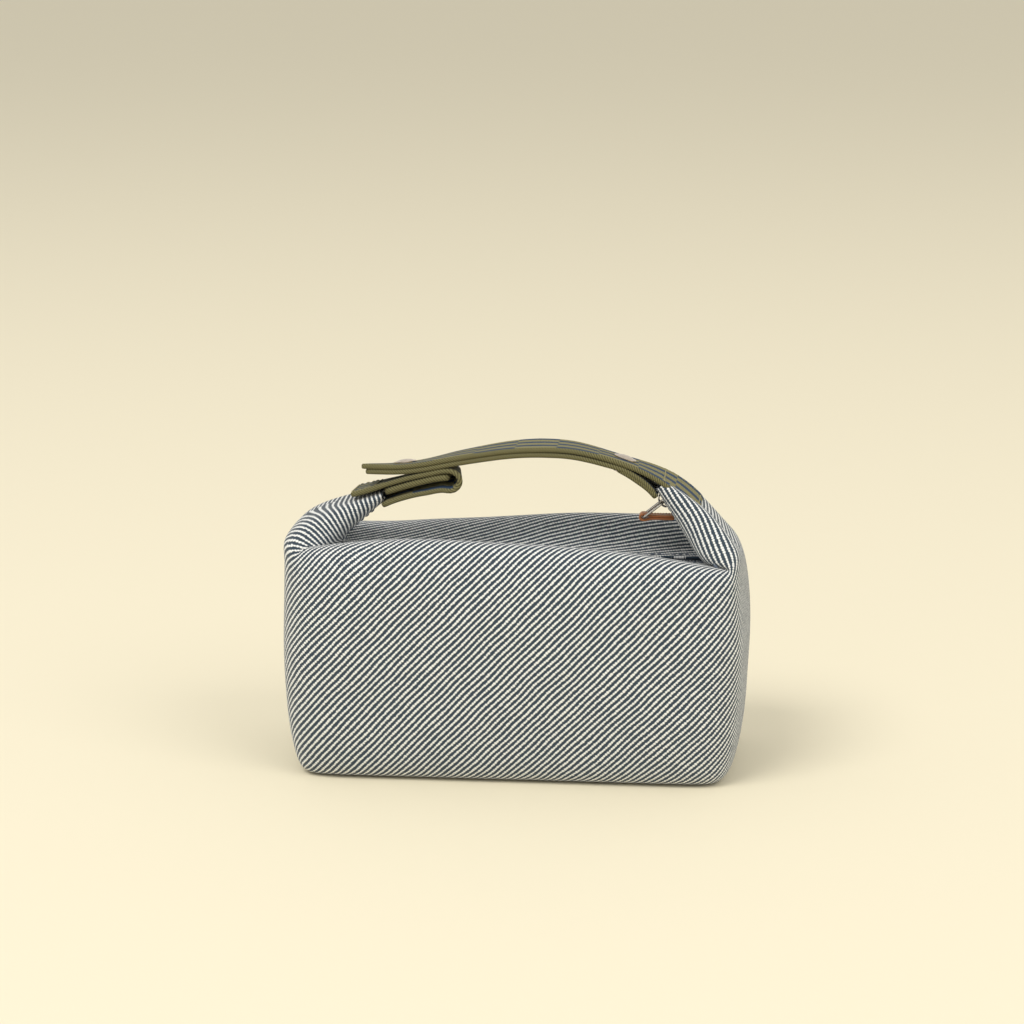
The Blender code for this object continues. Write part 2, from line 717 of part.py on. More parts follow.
def make_left_tab(finishes):
    """One strap folded back on itself: it holds the left horn between its ends."""
    line = handle_line()
    below_handle = WEBBING + 1.5 * FIT_GAP
    upper = offset_path(line, -below_handle - WEBBING / 2)
    middle = offset_path(line, -below_handle - WEBBING - FIT_GAP - TAB_CORE / 2)
    lower = offset_path(line, -below_handle - 1.5 * WEBBING - 2 * FIT_GAP - TAB_CORE)
    stations = horn_stations(True)
    fold = int(np.abs(line[:, 0] - stations[-1][0][0] - TAB_END).argmin())
    snap = snap_index(line)

    lap = FIT_GAP + WEBBING / 2
    tilt = math.radians(HORN_END_TILT["left"])
    up = np.array((-math.sin(tilt), math.cos(tilt)))
    inwards = np.array((math.cos(tilt), math.sin(tilt)))
    seam_end = np.array(stations[-1][0])
    zip_end = np.array(stations[-1][1])
    seam_way = seam_end - np.array(stations[-2][0])
    seam_way /= np.linalg.norm(seam_way)
    seam_up = np.array((-seam_way[1], seam_way[0]))
    zip_way = zip_end - np.array(stations[-2][1])
    zip_way /= np.linalg.norm(zip_way)
    zip_down = np.array((zip_way[1], -zip_way[0]))
    top_leg = [seam_end - seam_way * LEFT_GRIP_TOP + seam_up * (lap + FIT_GAP), seam_end + up * lap]
    top_leg += [upper[i] for i in range(snap - 1, fold + 1)]
    radius = (TAB_CORE + WEBBING) / 2 + FIT_GAP
    centre = middle[fold]
    normal = path_normals(middle)[fold]
    along = np.array((normal[1], -normal[0]))
    turn = [centre + radius * (normal * math.cos(a) + along * math.sin(a))
            for a in (math.pi / 4, math.pi / 2, 3 * math.pi / 4)]
    low_leg = [lower[i] for i in range(fold, snap - 2, -1)]
    low_leg.append(zip_end - up * lap + inwards * LEFT_FOLD_CLEAR)
    low_leg.append(zip_end - zip_way * LEFT_GRIP_UNDER + zip_down * (lap + FIT_GAP))
    path = curve_through([*top_leg, *turn, *low_leg], 0.0022)
    tab = ribbon("left_tab_webbing", path, WEBBING_WIDTH, WEBBING, finishes["webbing"])

    core_width = WEBBING_WIDTH - 2 * TAB_CORE_INSET
    core = ribbon("left_tab_core", middle[snap - 1 : fold + 1], core_width, TAB_CORE, finishes["webbing"])
    place = frame_at(line, snap)
    stud_top = -(WEBBING + FIT_GAP / 2) + SNAP_STUD_RISE
    leg_under = -below_handle - WEBBING
    flange_high = leg_under - FIT_GAP
    turned("left_snap_stud", [
        (0.0, flange_high - SNAP_FLANGE), (SNAP_FLANGE_RADIUS, flange_high - SNAP_FLANGE),
        (SNAP_FLANGE_RADIUS, flange_high), (SNAP_STUD_RADIUS, flange_high),
        (SNAP_STUD_RADIUS, stud_top - STUD_CHAMFER), (SNAP_STUD_RADIUS * 0.7, stud_top), (0.0, stud_top)],
        place, finishes["metal"])
    combine(tab, stub("cut_stud", place, SNAP_STUD_RADIUS + FIT_GAP, leg_under - 0.001, 0.0), "DIFFERENCE")
    low_cut = flange_high - SNAP_FLANGE - FIT_GAP
    combine(core, stub("cut_flange", place, SNAP_FLANGE_RADIUS + FIT_GAP, low_cut, 0.0), "DIFFERENCE")


def stub(name, place, radius, low, high):
    return turned(name, [(0.0, low), (radius, low), (radius, high), (0.0, high)], place, None, 20)


def make_right_ends(finishes):
    """The strap's sewn end over the right horn, and the folded webbing under its tip."""
    stations = horn_stations(False)
    hinge = np.array(hinge_place())
    handle_half = WEBBING + FIT_GAP / 2
    seam = [np.array(station[0]) for station in stations]
    way = curve_through([seam[3], seam[2], seam[1]], 0.002)
    over = offset_path(way, 2 * FIT_GAP + WEBBING / 2)
    to_horn = over[1] - hinge
    start = hinge + to_horn / np.linalg.norm(to_horn) * (handle_half + 2 * FIT_GAP)
    path = curve_through([start, *over[1:-1:3]], 0.0025)
    path = path[: index_at(path, STRAP_LENGTH) + 1]
    ribbon("right_strap_end", path, WEBBING_WIDTH, WEBBING, finishes["webbing"])

    zip_end = np.array(stations[-1][1])
    slope = math.radians(RIGHT_ZIP_SLOPE)
    down = np.array((math.cos(slope), -math.sin(slope)))
    out = np.array((-math.sin(slope), -math.cos(slope)))
    clear = handle_half + RIGHT_TAB / 2 + 2 * FIT_GAP
    line = handle_line()
    under = offset_path(line, -clear)
    tail = under[index_at(line, -RIGHT_TAB_TAIL)]
    reach = out * (2 * FIT_GAP + RIGHT_TAB / 2)
    under_hinge = hinge + np.array((-0.15, -1.0)) * clear
    path = curve_through([zip_end + down * RIGHT_GRIP + reach, zip_end + reach, under_hinge, tail], 0.0015)
    ribbon("right_tab_webbing", path, WEBBING_WIDTH, RIGHT_TAB, finishes["webbing"])


# ---- Slider and pull -----------------------------------------------------------------------
def hang_on(name, place, pieces):
    """An empty on a joint's axis that carries the moving pieces."""
    holder = bpy.data.objects.new(name, None)
    bpy.context.scene.collection.objects.link(holder)
    holder.matrix_world = place
    for piece in pieces:
        piece.parent = holder
        piece.matrix_parent_inverse = place.inverted()
    return holder


def ring_tube(name, path, radius, finish, sides=8):
    """A closed wire ring through a list of 3-D points."""
    count = len(path)
    points = []
    for i in range(count):
        tangent = (path[(i + 1) % count] - path[i - 1]).normalized()
        middle = sum(path, Vector()) / count
        outward_way = (path[i] - middle)
        outward_way -= tangent * outward_way.dot(tangent)
        outward_way.normalize()
        third = tangent.cross(outward_way)
        for k in range(sides):
            angle = 2 * math.pi * k / sides
            points.append(path[i] + (outward_way * math.cos(angle) + third * math.sin(angle)) * radius)
    faces = []
    for i in range(count):
        for k in range(sides):
            a = i * sides + k
            b = i * sides + (k + 1) % sides
            c = (i + 1) % count * sides
            faces.append((a, b, c + (k + 1) % sides, c + k))
    return add_object(name, mesh_from(name, points, faces), finish)


def make_slider(finishes):
    slope = math.radians(RIGHT_ZIP_SLOPE)
    along = Vector((-math.cos(slope), 0, math.sin(slope)))
    out = Vector((-math.sin(slope), 0, -math.cos(slope)))
    zip_end = horn_stations(False)[-1][1]
    centre = Vector((zip_end[0], 0, zip_end[1])) - along * SLIDER_FROM_HORN_END
    place = Matrix.Translation(centre) @ Matrix((along, ACROSS, out)).transposed().to_4x4()
    half = SLIDER_LENGTH / 2
    half_width = SLIDER_WIDTH / 2
    clear = CHAIN_HEIGHT / 2 + FIT_GAP
    top_low = -chain_level() + clear
    top_high = top_low + SLIDER_PLATE
    under_high = -chain_level() - clear
    under_low = under_high - SLIDER_PLATE
    plate_low = (-half, -half_width, top_low)
    plate_high = (half, half_width, top_high)
    slider = box("zip_slider", plate_low, plate_high, place, finishes["metal"])
    joined_low = under_high - SLIDER_PLATE / 2
    joined_high = top_low + SLIDER_PLATE / 2
    wedge_low = (half * 0.5, -SLIDER_WEDGE / 2, joined_low)
    wedge_high = (half * 0.93, SLIDER_WEDGE / 2, joined_high)
    crown_low = (-CROWN_LENGTH / 2, -CROWN_WIDTH / 2, top_high - SLIDER_PLATE / 2)
    crown_high = (CROWN_LENGTH / 2, CROWN_WIDTH / 2, CROWN_HEIGHT)
    eye = Vector((0, 0, (top_high + CROWN_HEIGHT) / 2))
    room = LINK_WIRE / 2 + 1.2 * FIT_GAP
    eye_low = (-room - EYE_SLACK, -CROWN_WIDTH, eye.z - room)
    eye_high = (room + EYE_SLACK, CROWN_WIDTH, eye.z + room)
    for name, low, high, operation in (
        ("slider_under", (-half, -half_width, under_low), (half, half_width, under_high), "UNION"),
        ("slider_wedge", wedge_low, wedge_high, "UNION"),
        ("slider_crown", crown_low, crown_high, "UNION"),
        ("slider_eye", eye_low, eye_high, "DIFFERENCE"),
    ):
        combine(slider, box(name, low, high, place), operation)
    hang_on("slider_mount", Matrix.Translation(centre), (slider,))

    pin = place @ eye
    link_way = direction(LINK_ANGLE)
    link_path = []
    near = LINK_CORNER
    far = LINK_LENGTH - LINK_CORNER
    side_place = LINK_WIDTH / 2 - LINK_CORNER
    corners = ((far, side_place), (near, side_place), (near, -side_place), (far, -side_place))
    for turn, (x, y) in enumerate(corners):
        for step in range(4):
            angle = math.pi / 2 * (turn + step / 3)
            along_link = link_way * (x + LINK_CORNER * math.cos(angle))
            link_path.append(pin + along_link + ACROSS * (y + LINK_CORNER * math.sin(angle)))
    link = ring_tube("pull_link", link_path, LINK_WIRE / 2, finishes["metal"])
    hang_on("pull_pin", Matrix.Translation(pin), (link,))

    bar = pin + link_way * LINK_LENGTH
    leather_way = direction(LEATHER_ANGLE)
    side_way = direction(LEATHER_ANGLE + 90)
    bore = LINK_WIRE / 2 + FIT_GAP
    eye_radius = bore + LEATHER
    outline = []
    for step in range(9):
        angle = math.radians(70 + 220 * step / 8)
        outline.append((eye_radius * math.cos(angle), eye_radius * math.sin(angle)))
    outline += [(eye_radius * 1.9, -LEATHER), (LEATHER_LENGTH, -LEATHER), (LEATHER_LENGTH, LEATHER),
                (eye_radius * 1.9, LEATHER)]
    points = []
    for y in (-LEATHER_WIDTH / 2, LEATHER_WIDTH / 2):
        points += [bar + leather_way * x + side_way * z + ACROSS * y for x, z in outline]
    count = len(outline)
    faces = [tuple(range(count)), tuple(range(count, 2 * count))]
    faces += [(i, (i + 1) % count, (i + 1) % count + count, i + count) for i in range(count)]
    leather = add_object("pull_leather", mesh_from("pull_leather", points, faces, 30.0), finishes["leather"])
    reach = ACROSS * LEATHER_WIDTH
    combine(leather, rod("leather_bore", bar - reach, bar + reach, bore, segments=16), "DIFFERENCE")
    hang_on("leather_pin", Matrix.Translation(bar), (leather,))


def direction(degrees):
    """Unit vector in the XZ plane."""
    angle = math.radians(degrees)
    return Vector((math.cos(angle), 0, math.sin(angle)))


def main():
    for old in list(bpy.data.objects):
        bpy.data.objects.remove(old)
    finishes = {
        "cloth": material("striped twill", (0.30, 0.35, 0.40), 0.95),
        "lining": material("lining cotton", (0.16, 0.20, 0.26), 0.9),
        "tape": material("zip tape", (0.06, 0.08, 0.11), 0.9),
        "chain": material("zip teeth", (0.45, 0.45, 0.46), 0.35, 1.0),
        "metal": material("polished snap metal", (0.75, 0.74, 0.72), 0.18, 1.0),
        "webbing": material("olive webbing", (0.22, 0.20, 0.10), 0.85),
        "leather": material("pull leather", (0.42, 0.17, 0.05), 0.5),
    }
    cloth_edge = make_panel(-1, "front", finishes)
    make_panel(1, "back", finishes)
    make_zip(cloth_edge, finishes)
    make_left_tab(finishes)
    make_right_ends(finishes)
    make_handle(finishes)
    make_slider(finishes)


main()
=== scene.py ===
"""Looks of the zipped twill pouch: cloth, webbing, zip, snaps and pull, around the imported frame."""

import math

import bmesh
import bpy
import numpy as np
from mathutils import Matrix, Vector, noise


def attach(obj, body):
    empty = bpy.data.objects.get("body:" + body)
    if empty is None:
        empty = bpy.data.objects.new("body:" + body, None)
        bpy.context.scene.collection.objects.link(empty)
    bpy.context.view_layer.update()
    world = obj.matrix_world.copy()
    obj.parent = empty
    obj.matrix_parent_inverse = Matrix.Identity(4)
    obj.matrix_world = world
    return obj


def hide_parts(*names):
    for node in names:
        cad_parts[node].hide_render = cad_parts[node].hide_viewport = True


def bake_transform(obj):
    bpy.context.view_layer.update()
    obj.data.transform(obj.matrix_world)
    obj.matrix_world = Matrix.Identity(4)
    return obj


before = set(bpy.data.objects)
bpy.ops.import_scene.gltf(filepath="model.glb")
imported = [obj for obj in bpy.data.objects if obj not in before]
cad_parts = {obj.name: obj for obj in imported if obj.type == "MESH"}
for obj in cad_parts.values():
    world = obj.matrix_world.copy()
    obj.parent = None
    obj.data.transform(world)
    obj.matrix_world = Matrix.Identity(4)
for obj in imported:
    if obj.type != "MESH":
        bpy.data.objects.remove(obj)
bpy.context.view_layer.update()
MM = 0.001
ACROSS = np.array((0.0, 1.0, 0.0))


# ---- Shading nodes -------------------------------------------------------------------------
class Finish:
    """A material and short words for its nodes."""

    def __init__(self, name, roughness=0.8, metallic=0.0, **constants):
        self.made = bpy.data.materials.new(name)
        self.made.use_nodes = True
        self.tree = self.made.node_tree
        self.shader = self.tree.nodes["Principled BSDF"]
        self.shader.inputs["Roughness"].default_value = roughness
        self.shader.inputs["Metallic"].default_value = metallic
        for label, value in constants.items():
            self.shader.inputs[label.replace("_", " ")].default_value = value

    def node(self, kind, inputs=(), **settings):
        made = self.tree.nodes.new("ShaderNode" + kind)
        for label, value in settings.items():
            setattr(made, label, value)
        for place, value in dict(inputs).items():
            self.join(value, made.inputs[place])
        return made

    def join(self, value, socket):
        if isinstance(value, bpy.types.NodeSocket):
            self.tree.links.new(value, socket)
        else:
            socket.default_value = value

    def maths(self, operation, *values):
        return self.node("Math", enumerate(values), operation=operation).outputs[0]

    def scaled(self, value, factor, plus=0.0):
        return self.maths("MULTIPLY_ADD", value, factor, plus)

    def over(self, value, size):
        return self.maths("DIVIDE", value, size)

    def summed(self, first, second):
        return self.maths("ADD", first, second)

    def ramp(self, value, low, high, start=0.0, end=1.0):
        """Smooth step from start to end as value goes from low to high."""
        inputs = {0: value, 1: low, 2: high, 3: start, 4: end}
        return self.node("MapRange", inputs, interpolation_type="SMOOTHSTEP").outputs[0]

    def mix(self, share, first, second):
        made = self.node("Mix", {0: share, 6: self.rgba(first), 7: self.rgba(second)}, data_type="RGBA")
        return made.outputs[2]

    def rgba(self, colour):
        return colour if isinstance(colour, bpy.types.NodeSocket) else (*colour, 1.0)

    def noise(self, where, scale, detail=2.0, rough=0.5):
        inputs = {"Vector": where, "Scale": scale, "Detail": detail, "Roughness": rough}
        return self.node("TexNoise", inputs).outputs[0]

    def place(self):
        return self.node("TexCoord").outputs["Object"]

    def pattern(self):
        """Along and across, in millimetres, from the piece's own map."""
        where = self.node("UVMap", uv_map="pattern").outputs[0]
        split = self.node("SeparateXYZ", {0: where})
        return where, split.outputs[0], split.outputs[1]

    def number(self, name):
        return self.node("Attribute", attribute_name=name).outputs["Fac"]

    def wave(self, phase):
        return self.maths("SINE", self.maths("MULTIPLY", phase, 2 * math.pi))

    def colour(self, value):
        self.join(self.rgba(value), self.shader.inputs["Base Color"])

    def bump(self, height, depth, strength=1.0):
        made = self.node("Bump", {"Strength": strength, "Distance": depth, "Height": height})
        self.join(made.outputs[0], self.shader.inputs["Normal"])


RIB_ALONG = 3.21  # mm between two white lines, measured level
RIB_UP = 3.50  # and measured upright
KNOT_ALONG = 2.05  # mm between two knots of a line, in the same way
KNOT_UP = 1.75
TWILL_WHITE = (0.86, 0.87, 0.85)
TWILL_SLATE = (0.024, 0.043, 0.066)
TWILL_SPECK = (0.085, 0.120, 0.155)
# Grey for the white lines: partly random grey tone, partly painted shade in the dips between the knots.
TWILL_GREY_AND_SHADE = (0.46, 0.49, 0.51)


def make_twill():
    """Raised white lines on slate navy; each line is a row of small slanted knots."""
    cloth = Finish("striped twill", 0.92, Sheen_Weight=0.2, Sheen_Roughness=0.5)
    where, x, y = cloth.pattern()
    waver = cloth.scaled(cloth.noise(where, 0.055, 1.0), 0.6, -0.30)
    fine = cloth.scaled(cloth.noise(where, 0.9, 1.0), 0.40, -0.20)
    line = cloth.maths("SUBTRACT", cloth.over(x, RIB_ALONG), cloth.over(y, RIB_UP))
    rib = cloth.wave(cloth.summed(cloth.summed(line, waver), fine))
    knots = cloth.wave(cloth.summed(cloth.over(x, KNOT_ALONG), cloth.over(y, KNOT_UP)))
    grain = cloth.noise(where, 4.2, 2.0, 0.7)
    edge = cloth.scaled(grain, 1.1, cloth.scaled(knots, 0.30, rib))
    white = cloth.ramp(edge, 0.66, 1.08)
    slate = cloth.mix(cloth.ramp(grain, 0.52, 0.80), TWILL_SLATE, TWILL_SPECK)
    # The grain greys the white lines at random, and the knot wave adds painted shade in the dips between
    # knots.
    grey_and_shade = cloth.ramp(cloth.scaled(knots, -0.14, grain), 0.42, 0.78)
    bright = cloth.mix(grey_and_shade, TWILL_WHITE, TWILL_GREY_AND_SHADE)
    cloth.colour(cloth.mix(white, slate, bright))
    height = cloth.scaled(knots, 0.10, cloth.ramp(rib, -0.9, 0.9))
    cloth.bump(cloth.scaled(grain, 0.35, height), 0.45 * MM, 0.8)
    return cloth.made


OLIVE = (0.30, 0.275, 0.135)
# Painted shade: the dark olive below is the webbing's colour as it looks in shade.
OLIVE_SHADE = (0.105, 0.094, 0.040)
# Painted shade: the edge olive is a shaded copy of the olive, painted on the roped edges.
OLIVE_EDGE_SHADE = (0.205, 0.190, 0.090)
# Painted shade: the groove olive is laid into the grooves between the twists of the roped edges.
OLIVE_GROOVE_SHADE = (0.030, 0.027, 0.012)
WEB_BLUE = (0.022, 0.048, 0.095)
WEB_BLUE_WORN = (0.06, 0.09, 0.14)
RIB_PITCH = 1.35  # mm between two ribs along a strap
BLOCK = 20.0  # mm, length of a woven block before its lines shift
LINE_PITCH = 9.6  # mm between blue lines across the strap


def make_webbing(name, blue=True):
    """Ribbed strap with roped edges. Its lengthwise blue lines shift by half a step from block to block."""
    web = Finish(name, 0.9, Sheen_Weight=0.03, Specular_IOR_Level=0.2)
    where, x, y = web.pattern()
    cord = web.wave(web.summed(web.over(x, RIB_PITCH), web.over(y, 2.1)))
    grain = web.noise(where, 3.2, 3.0, 0.7)
    # The rib wave and the grain mix in the dark olive: painted shade in the dips between the ribs, with
    # random tone besides.
    thread = web.mix(web.ramp(web.scaled(cord, 0.16, grain), 0.30, 0.66), OLIVE_SHADE, OLIVE)
    if blue:
        waver = web.scaled(web.noise(where, 0.5, 1.0), 0.12, -0.06)
        block = web.maths("MODULO", web.maths("FLOOR", web.over(x, BLOCK)), 2.0)
        shift = web.maths("MULTIPLY", block, 0.5)
        lines = web.wave(web.summed(web.summed(web.over(y, LINE_PITCH), shift), waver))
        dyed = web.mix(web.ramp(grain, 0.45, 0.75), WEB_BLUE, WEB_BLUE_WORN)
        thread = web.mix(web.ramp(lines, 0.10, 0.42), thread, dyed)
    # Painted shade: the rope wave darkens the grooves between the edge's twists, and the roped edges take the
    # shaded edge olive.
    rope = web.ramp(web.scaled(grain, 0.35, web.number("rope")), 0.20, 1.0)
    web.colour(web.mix(web.number("edge"), thread, web.mix(rope, OLIVE_GROOVE_SHADE, OLIVE_EDGE_SHADE)))
    web.bump(web.scaled(cord, 0.30, web.maths("MULTIPLY", grain, 0.7)), 0.25 * MM, 0.8)
    return web.made


def make_metal(name, colour, roughness):
    metal = Finish(name, roughness, 1.0)
    where = metal.place()
    wear = metal.noise(where, 900.0, 3.0)
    metal.colour(metal.mix(metal.ramp(wear, 0.35, 0.75), colour, tuple(c * 0.82 for c in colour)))
    metal.join(metal.ramp(metal.noise(where, 400.0, 2.0), 0.3, 0.8, roughness * 0.7, roughness * 1.5),
               metal.shader.inputs["Roughness"])
    metal.bump(wear, 0.02 * MM, 0.3)
    return metal.made


def make_leather():
    hide = Finish("pull leather", 0.45, Specular_IOR_Level=0.45)
    where = hide.place()
    pores = hide.noise(where, 2600.0, 3.0, 0.6)
    blotch = hide.noise(where, 260.0, 2.0)
    face = hide.mix(hide.ramp(blotch, 0.3, 0.75), (0.50, 0.17, 0.045), (0.66, 0.28, 0.095))
    face = hide.mix(hide.ramp(pores, 0.25, 0.55), (0.28, 0.09, 0.028), face)
    hide.colour(hide.mix(hide.number("edge"), face, (0.33, 0.115, 0.035)))
    hide.bump(pores, 0.08 * MM, 0.6)
    return hide.made


def make_plain_weave(name, dark, light, size):
    """A fine over-and-under weave read from the piece's place."""
    weave = Finish(name, 0.9)
    where = weave.place()
    split = weave.node("SeparateXYZ", {0: where})
    warp = weave.wave(weave.over(split.outputs[0], size))
    weft = weave.wave(weave.over(weave.summed(split.outputs[1], split.outputs[2]), size))
    check = weave.maths("MULTIPLY", warp, weft)
    grain = weave.noise(where, 900.0, 3.0, 0.7)
    share = weave.ramp(weave.scaled(check, 0.25, grain), 0.25, 0.85)
    weave.colour(weave.mix(share, dark, light))
    weave.bump(share, 0.15 * MM, 0.6)
    return weave.made


def make_thread(name, dark, light):
    thread = Finish(name, 0.7)
    twist = thread.noise(thread.place(), 3000.0, 2.0)
    thread.colour(thread.mix(thread.ramp(twist, 0.3, 0.7), dark, light))
    thread.bump(twist, 0.05 * MM, 0.5)
    return thread.made


twill = make_twill()
webbing = make_webbing("olive webbing")
core_finish = make_webbing("olive core", False)
# The snap metal's peach tint is a painted reflection of the warm cream surroundings on silver metal.
snap_metal = make_metal("polished snap metal", (0.74, 0.64, 0.54), 0.14)
pull_metal = make_metal("polished pull metal", (0.62, 0.60, 0.57), 0.20)
teeth_metal = make_metal("zip teeth", (0.52, 0.52, 0.53), 0.30)
leather = make_leather()
tape_finish = make_plain_weave("zip tape", (0.020, 0.030, 0.046), (0.075, 0.095, 0.125), 0.9 * MM)
lining_finish = make_plain_weave("lining cotton", (0.09, 0.12, 0.17), (0.17, 0.21, 0.28), 0.8 * MM)
olive_thread = make_thread("olive thread", (0.14, 0.13, 0.06), (0.34, 0.31, 0.17))
navy_thread = make_thread("navy thread", (0.06, 0.08, 0.11), (0.16, 0.19, 0.24))
tan_thread = make_thread("tan thread", (0.42, 0.27, 0.14), (0.72, 0.52, 0.32))


# ---- Meshes and lines ----------------------------------------------------------------------
def in_scene(name, data):
    made = bpy.data.objects.new(name, data)
    bpy.context.scene.collection.objects.link(made)
    return made


def bare_mesh(name, points, faces=()):
    mesh = bpy.data.meshes.new(name)
    spots = [tuple(map(float, point)) for point in points]
    mesh.from_pydata(spots, [], [tuple(map(int, face)) for face in faces])
    return mesh


def mesh_object(name, points, faces, finish, smooth_angle=180.0):
    mesh = bare_mesh(name, points, faces)
    mesh.shade_smooth()
    if smooth_angle < 180.0:
        mesh.set_sharp_from_angle(angle=math.radians(smooth_angle))
    mesh.materials.append(finish)
    return in_scene(name, mesh)


def numbers(mesh, name, values):
    """Stores a number per point."""
    stored = mesh.attributes.new(name, "FLOAT", "POINT")
    stored.data.foreach_set("value", np.asarray(values, np.float32))


def map_pattern(mesh, per_corner):
    layer = mesh.uv_layers.new(name="pattern")
    layer.uv.foreach_set("vector", np.asarray(per_corner, np.float32).ravel())


def outside(mesh, weld=False):
    """Turns every face outwards, after joining points that coincide if weld is set."""
    work = bmesh.new()
    work.from_mesh(mesh)
    if weld:
        bmesh.ops.remove_doubles(work, verts=work.verts, dist=1e-6)
        bmesh.ops.dissolve_degenerate(work, edges=work.edges, dist=1e-7)
    bmesh.ops.recalc_face_normals(work, faces=work.faces)
    work.to_mesh(mesh)
    work.free()


def ring_faces(rings, sides, first=0):
    """Quads from each ring of points to the next."""
    found = []
    for ring in range(rings - 1):
        for k in range(sides):
            a, b = first + ring * sides + k, first + ring * sides + (k + 1) % sides
            found.append((a, b, b + sides, a + sides))
    return found


def end_caps(rings, sides, first=0):
    """A face on the first ring and one on the last."""
    last = first + (rings - 1) * sides
    return [tuple(range(first, first + sides)), tuple(range(last, last + sides))]


def curve_through(knots, step):
    """Points every step along a natural cubic spline through the given ones."""
    knots = np.array(knots, float)
    spans = np.linalg.norm(np.diff(knots, axis=0), axis=1)
    at = np.concatenate([[0.0], np.cumsum(spans)])
    count = len(knots)
    system = np.zeros((count, count))
    wanted = np.zeros_like(knots)
    system[0, 0] = system[-1, -1] = 1.0
    for i in range(1, count - 1):
        system[i, i - 1 : i + 2] = spans[i - 1], 2 * (spans[i - 1] + spans[i]), spans[i]
        wanted[i] = 6 * ((knots[i + 1] - knots[i]) / spans[i] - (knots[i] - knots[i - 1]) / spans[i - 1])
    bend = np.linalg.solve(system, wanted)
    fine = np.linspace(0, at[-1], 60 * count)
    span = np.clip(np.searchsorted(at, fine) - 1, 0, count - 2)
    width = spans[span][:, None]
    right = (fine - at[span])[:, None]
    left = width - right
    dense = (bend[span] * left**3 + bend[span + 1] * right**3) / (6 * width)
    dense += (knots[span] / width - bend[span] * width / 6) * left
    dense += (knots[span + 1] / width - bend[span + 1] * width / 6) * right
    return evened(dense, step)


def distance_along(points):
    return np.concatenate([[0.0], np.cumsum(np.linalg.norm(np.diff(points, axis=0), axis=1))])


def evened(points, step):
    along = distance_along(points)
    wanted = np.linspace(0, along[-1], max(2, round(along[-1] / step)) + 1)
    return np.stack([np.interp(wanted, along, points[:, k]) for k in range(points.shape[1])], axis=1)


def unit(vectors):
    return vectors / np.maximum(np.linalg.norm(vectors, axis=-1, keepdims=True), 1e-12)


# ---- The cloth -----------------------------------------------------------------------------
HALF_LENGTH = 113.4  # mm, at the walls' top edge
WALL_TOP = 108.0
HALF_DEPTH = 51.0
COLUMNS = (-1.0, -0.86, -0.62, -0.32, 0.0, 0.32, 0.62, 0.86, 1.0)
WALL_ROWS = (0.0, 0.12, 0.40, 0.72, 1.0)
HALF_LENGTHS = (106.6, 111.4, 114.6, 114.4, 112.9)
HALF_DEPTHS = (43.5, 47.8, 51.6, 51.6, 49.2)
SIDE_STEPS = 3
TOP_SHARES = (1.0, 0.74, 0.44, 0.27)
CORNER = 9.0
SIDE_BOW = (0.35, 0.08, 0.0)
ZIP_EDGE = 5.0
VALLEY = 103.0
ZIP_FOOT = {-1: 27.4, 1: 18.4}
SEAM = 0.15

# Height of the ridge along each panel, as (X, Z), and what it does to the cloth beside it.
RIDGE = {
    -1: ((-113, 114.5), (-100, 114.0), (-90, 114.5), (-80, 116.0), (-68, 118.0), (-45, 119.5), (-20, 119.0),
         (0, 117.0), (25, 117.0), (50, 116.0), (65, 112.5), (78, 110.0), (90, 108.0), (100, 107.0),
         (113, 108.0)),
    1: ((-113, 110.0), (-90, 109.5), (-67, 110.0), (-36, 112.0), (-12, 114.3), (13, 116.3), (40, 117.2),
        (67, 117.4), (90, 116.0), (113, 112.0)),
}

# Each horn, from its root to its end: where the end seam passes and where the zip line passes
# (X, Z), and the half width of the front and of the back panel there.
HORN = {
    -1: (((-112.6, 115.5), (-87.0, 110.5), 39.0, 36.0), ((-103.5, 124.0), (-82.0, 116.5), 29.5, 26.0),
         ((-88.0, 129.5), (-75.5, 122.0), 21.5, 19.5), ((-65.0, 136.3), (-64.3, 131.2), 14.5, 14.5)),
    1: (((105.0, 112.0), (90.3, 107.5), 41.0, 31.0), ((97.4, 121.5), (85.4, 114.5), 33.0, 27.0),
        ((87.6, 131.6), (78.8, 123.9), 23.5, 28.0), ((71.0, 143.4), (67.6, 139.9), 14.5, 20.0)),
}
# How far the cloth stands out beside the right horn's seam, and its share at each place of a station.
RIGHT_FULLNESS = {-1: (6.0, 3.2), 1: (0.5, 4.0)}
FULL_SHARES = (0.0, 0.55, 1.0, 0.5, 0.1, 0.0, 0.0, 0.0)
HORN_ACROSS = (0.0, 0.56, 0.93, 1.0, 0.92, 0.68, 0.40, 0.0)
HORN_TOWARDS_ZIP = {
    -1: (0.0, 0.0, 0.06, 0.33, 0.74, 0.96, 1.0, 1.0),
    1: (0.0, 0.03, 0.16, 0.5, 0.85, 1.0, 1.0, 1.0),
}
HORN_CUT = 40.0  # mm of cloth from a horn's root to its end in the flat cut


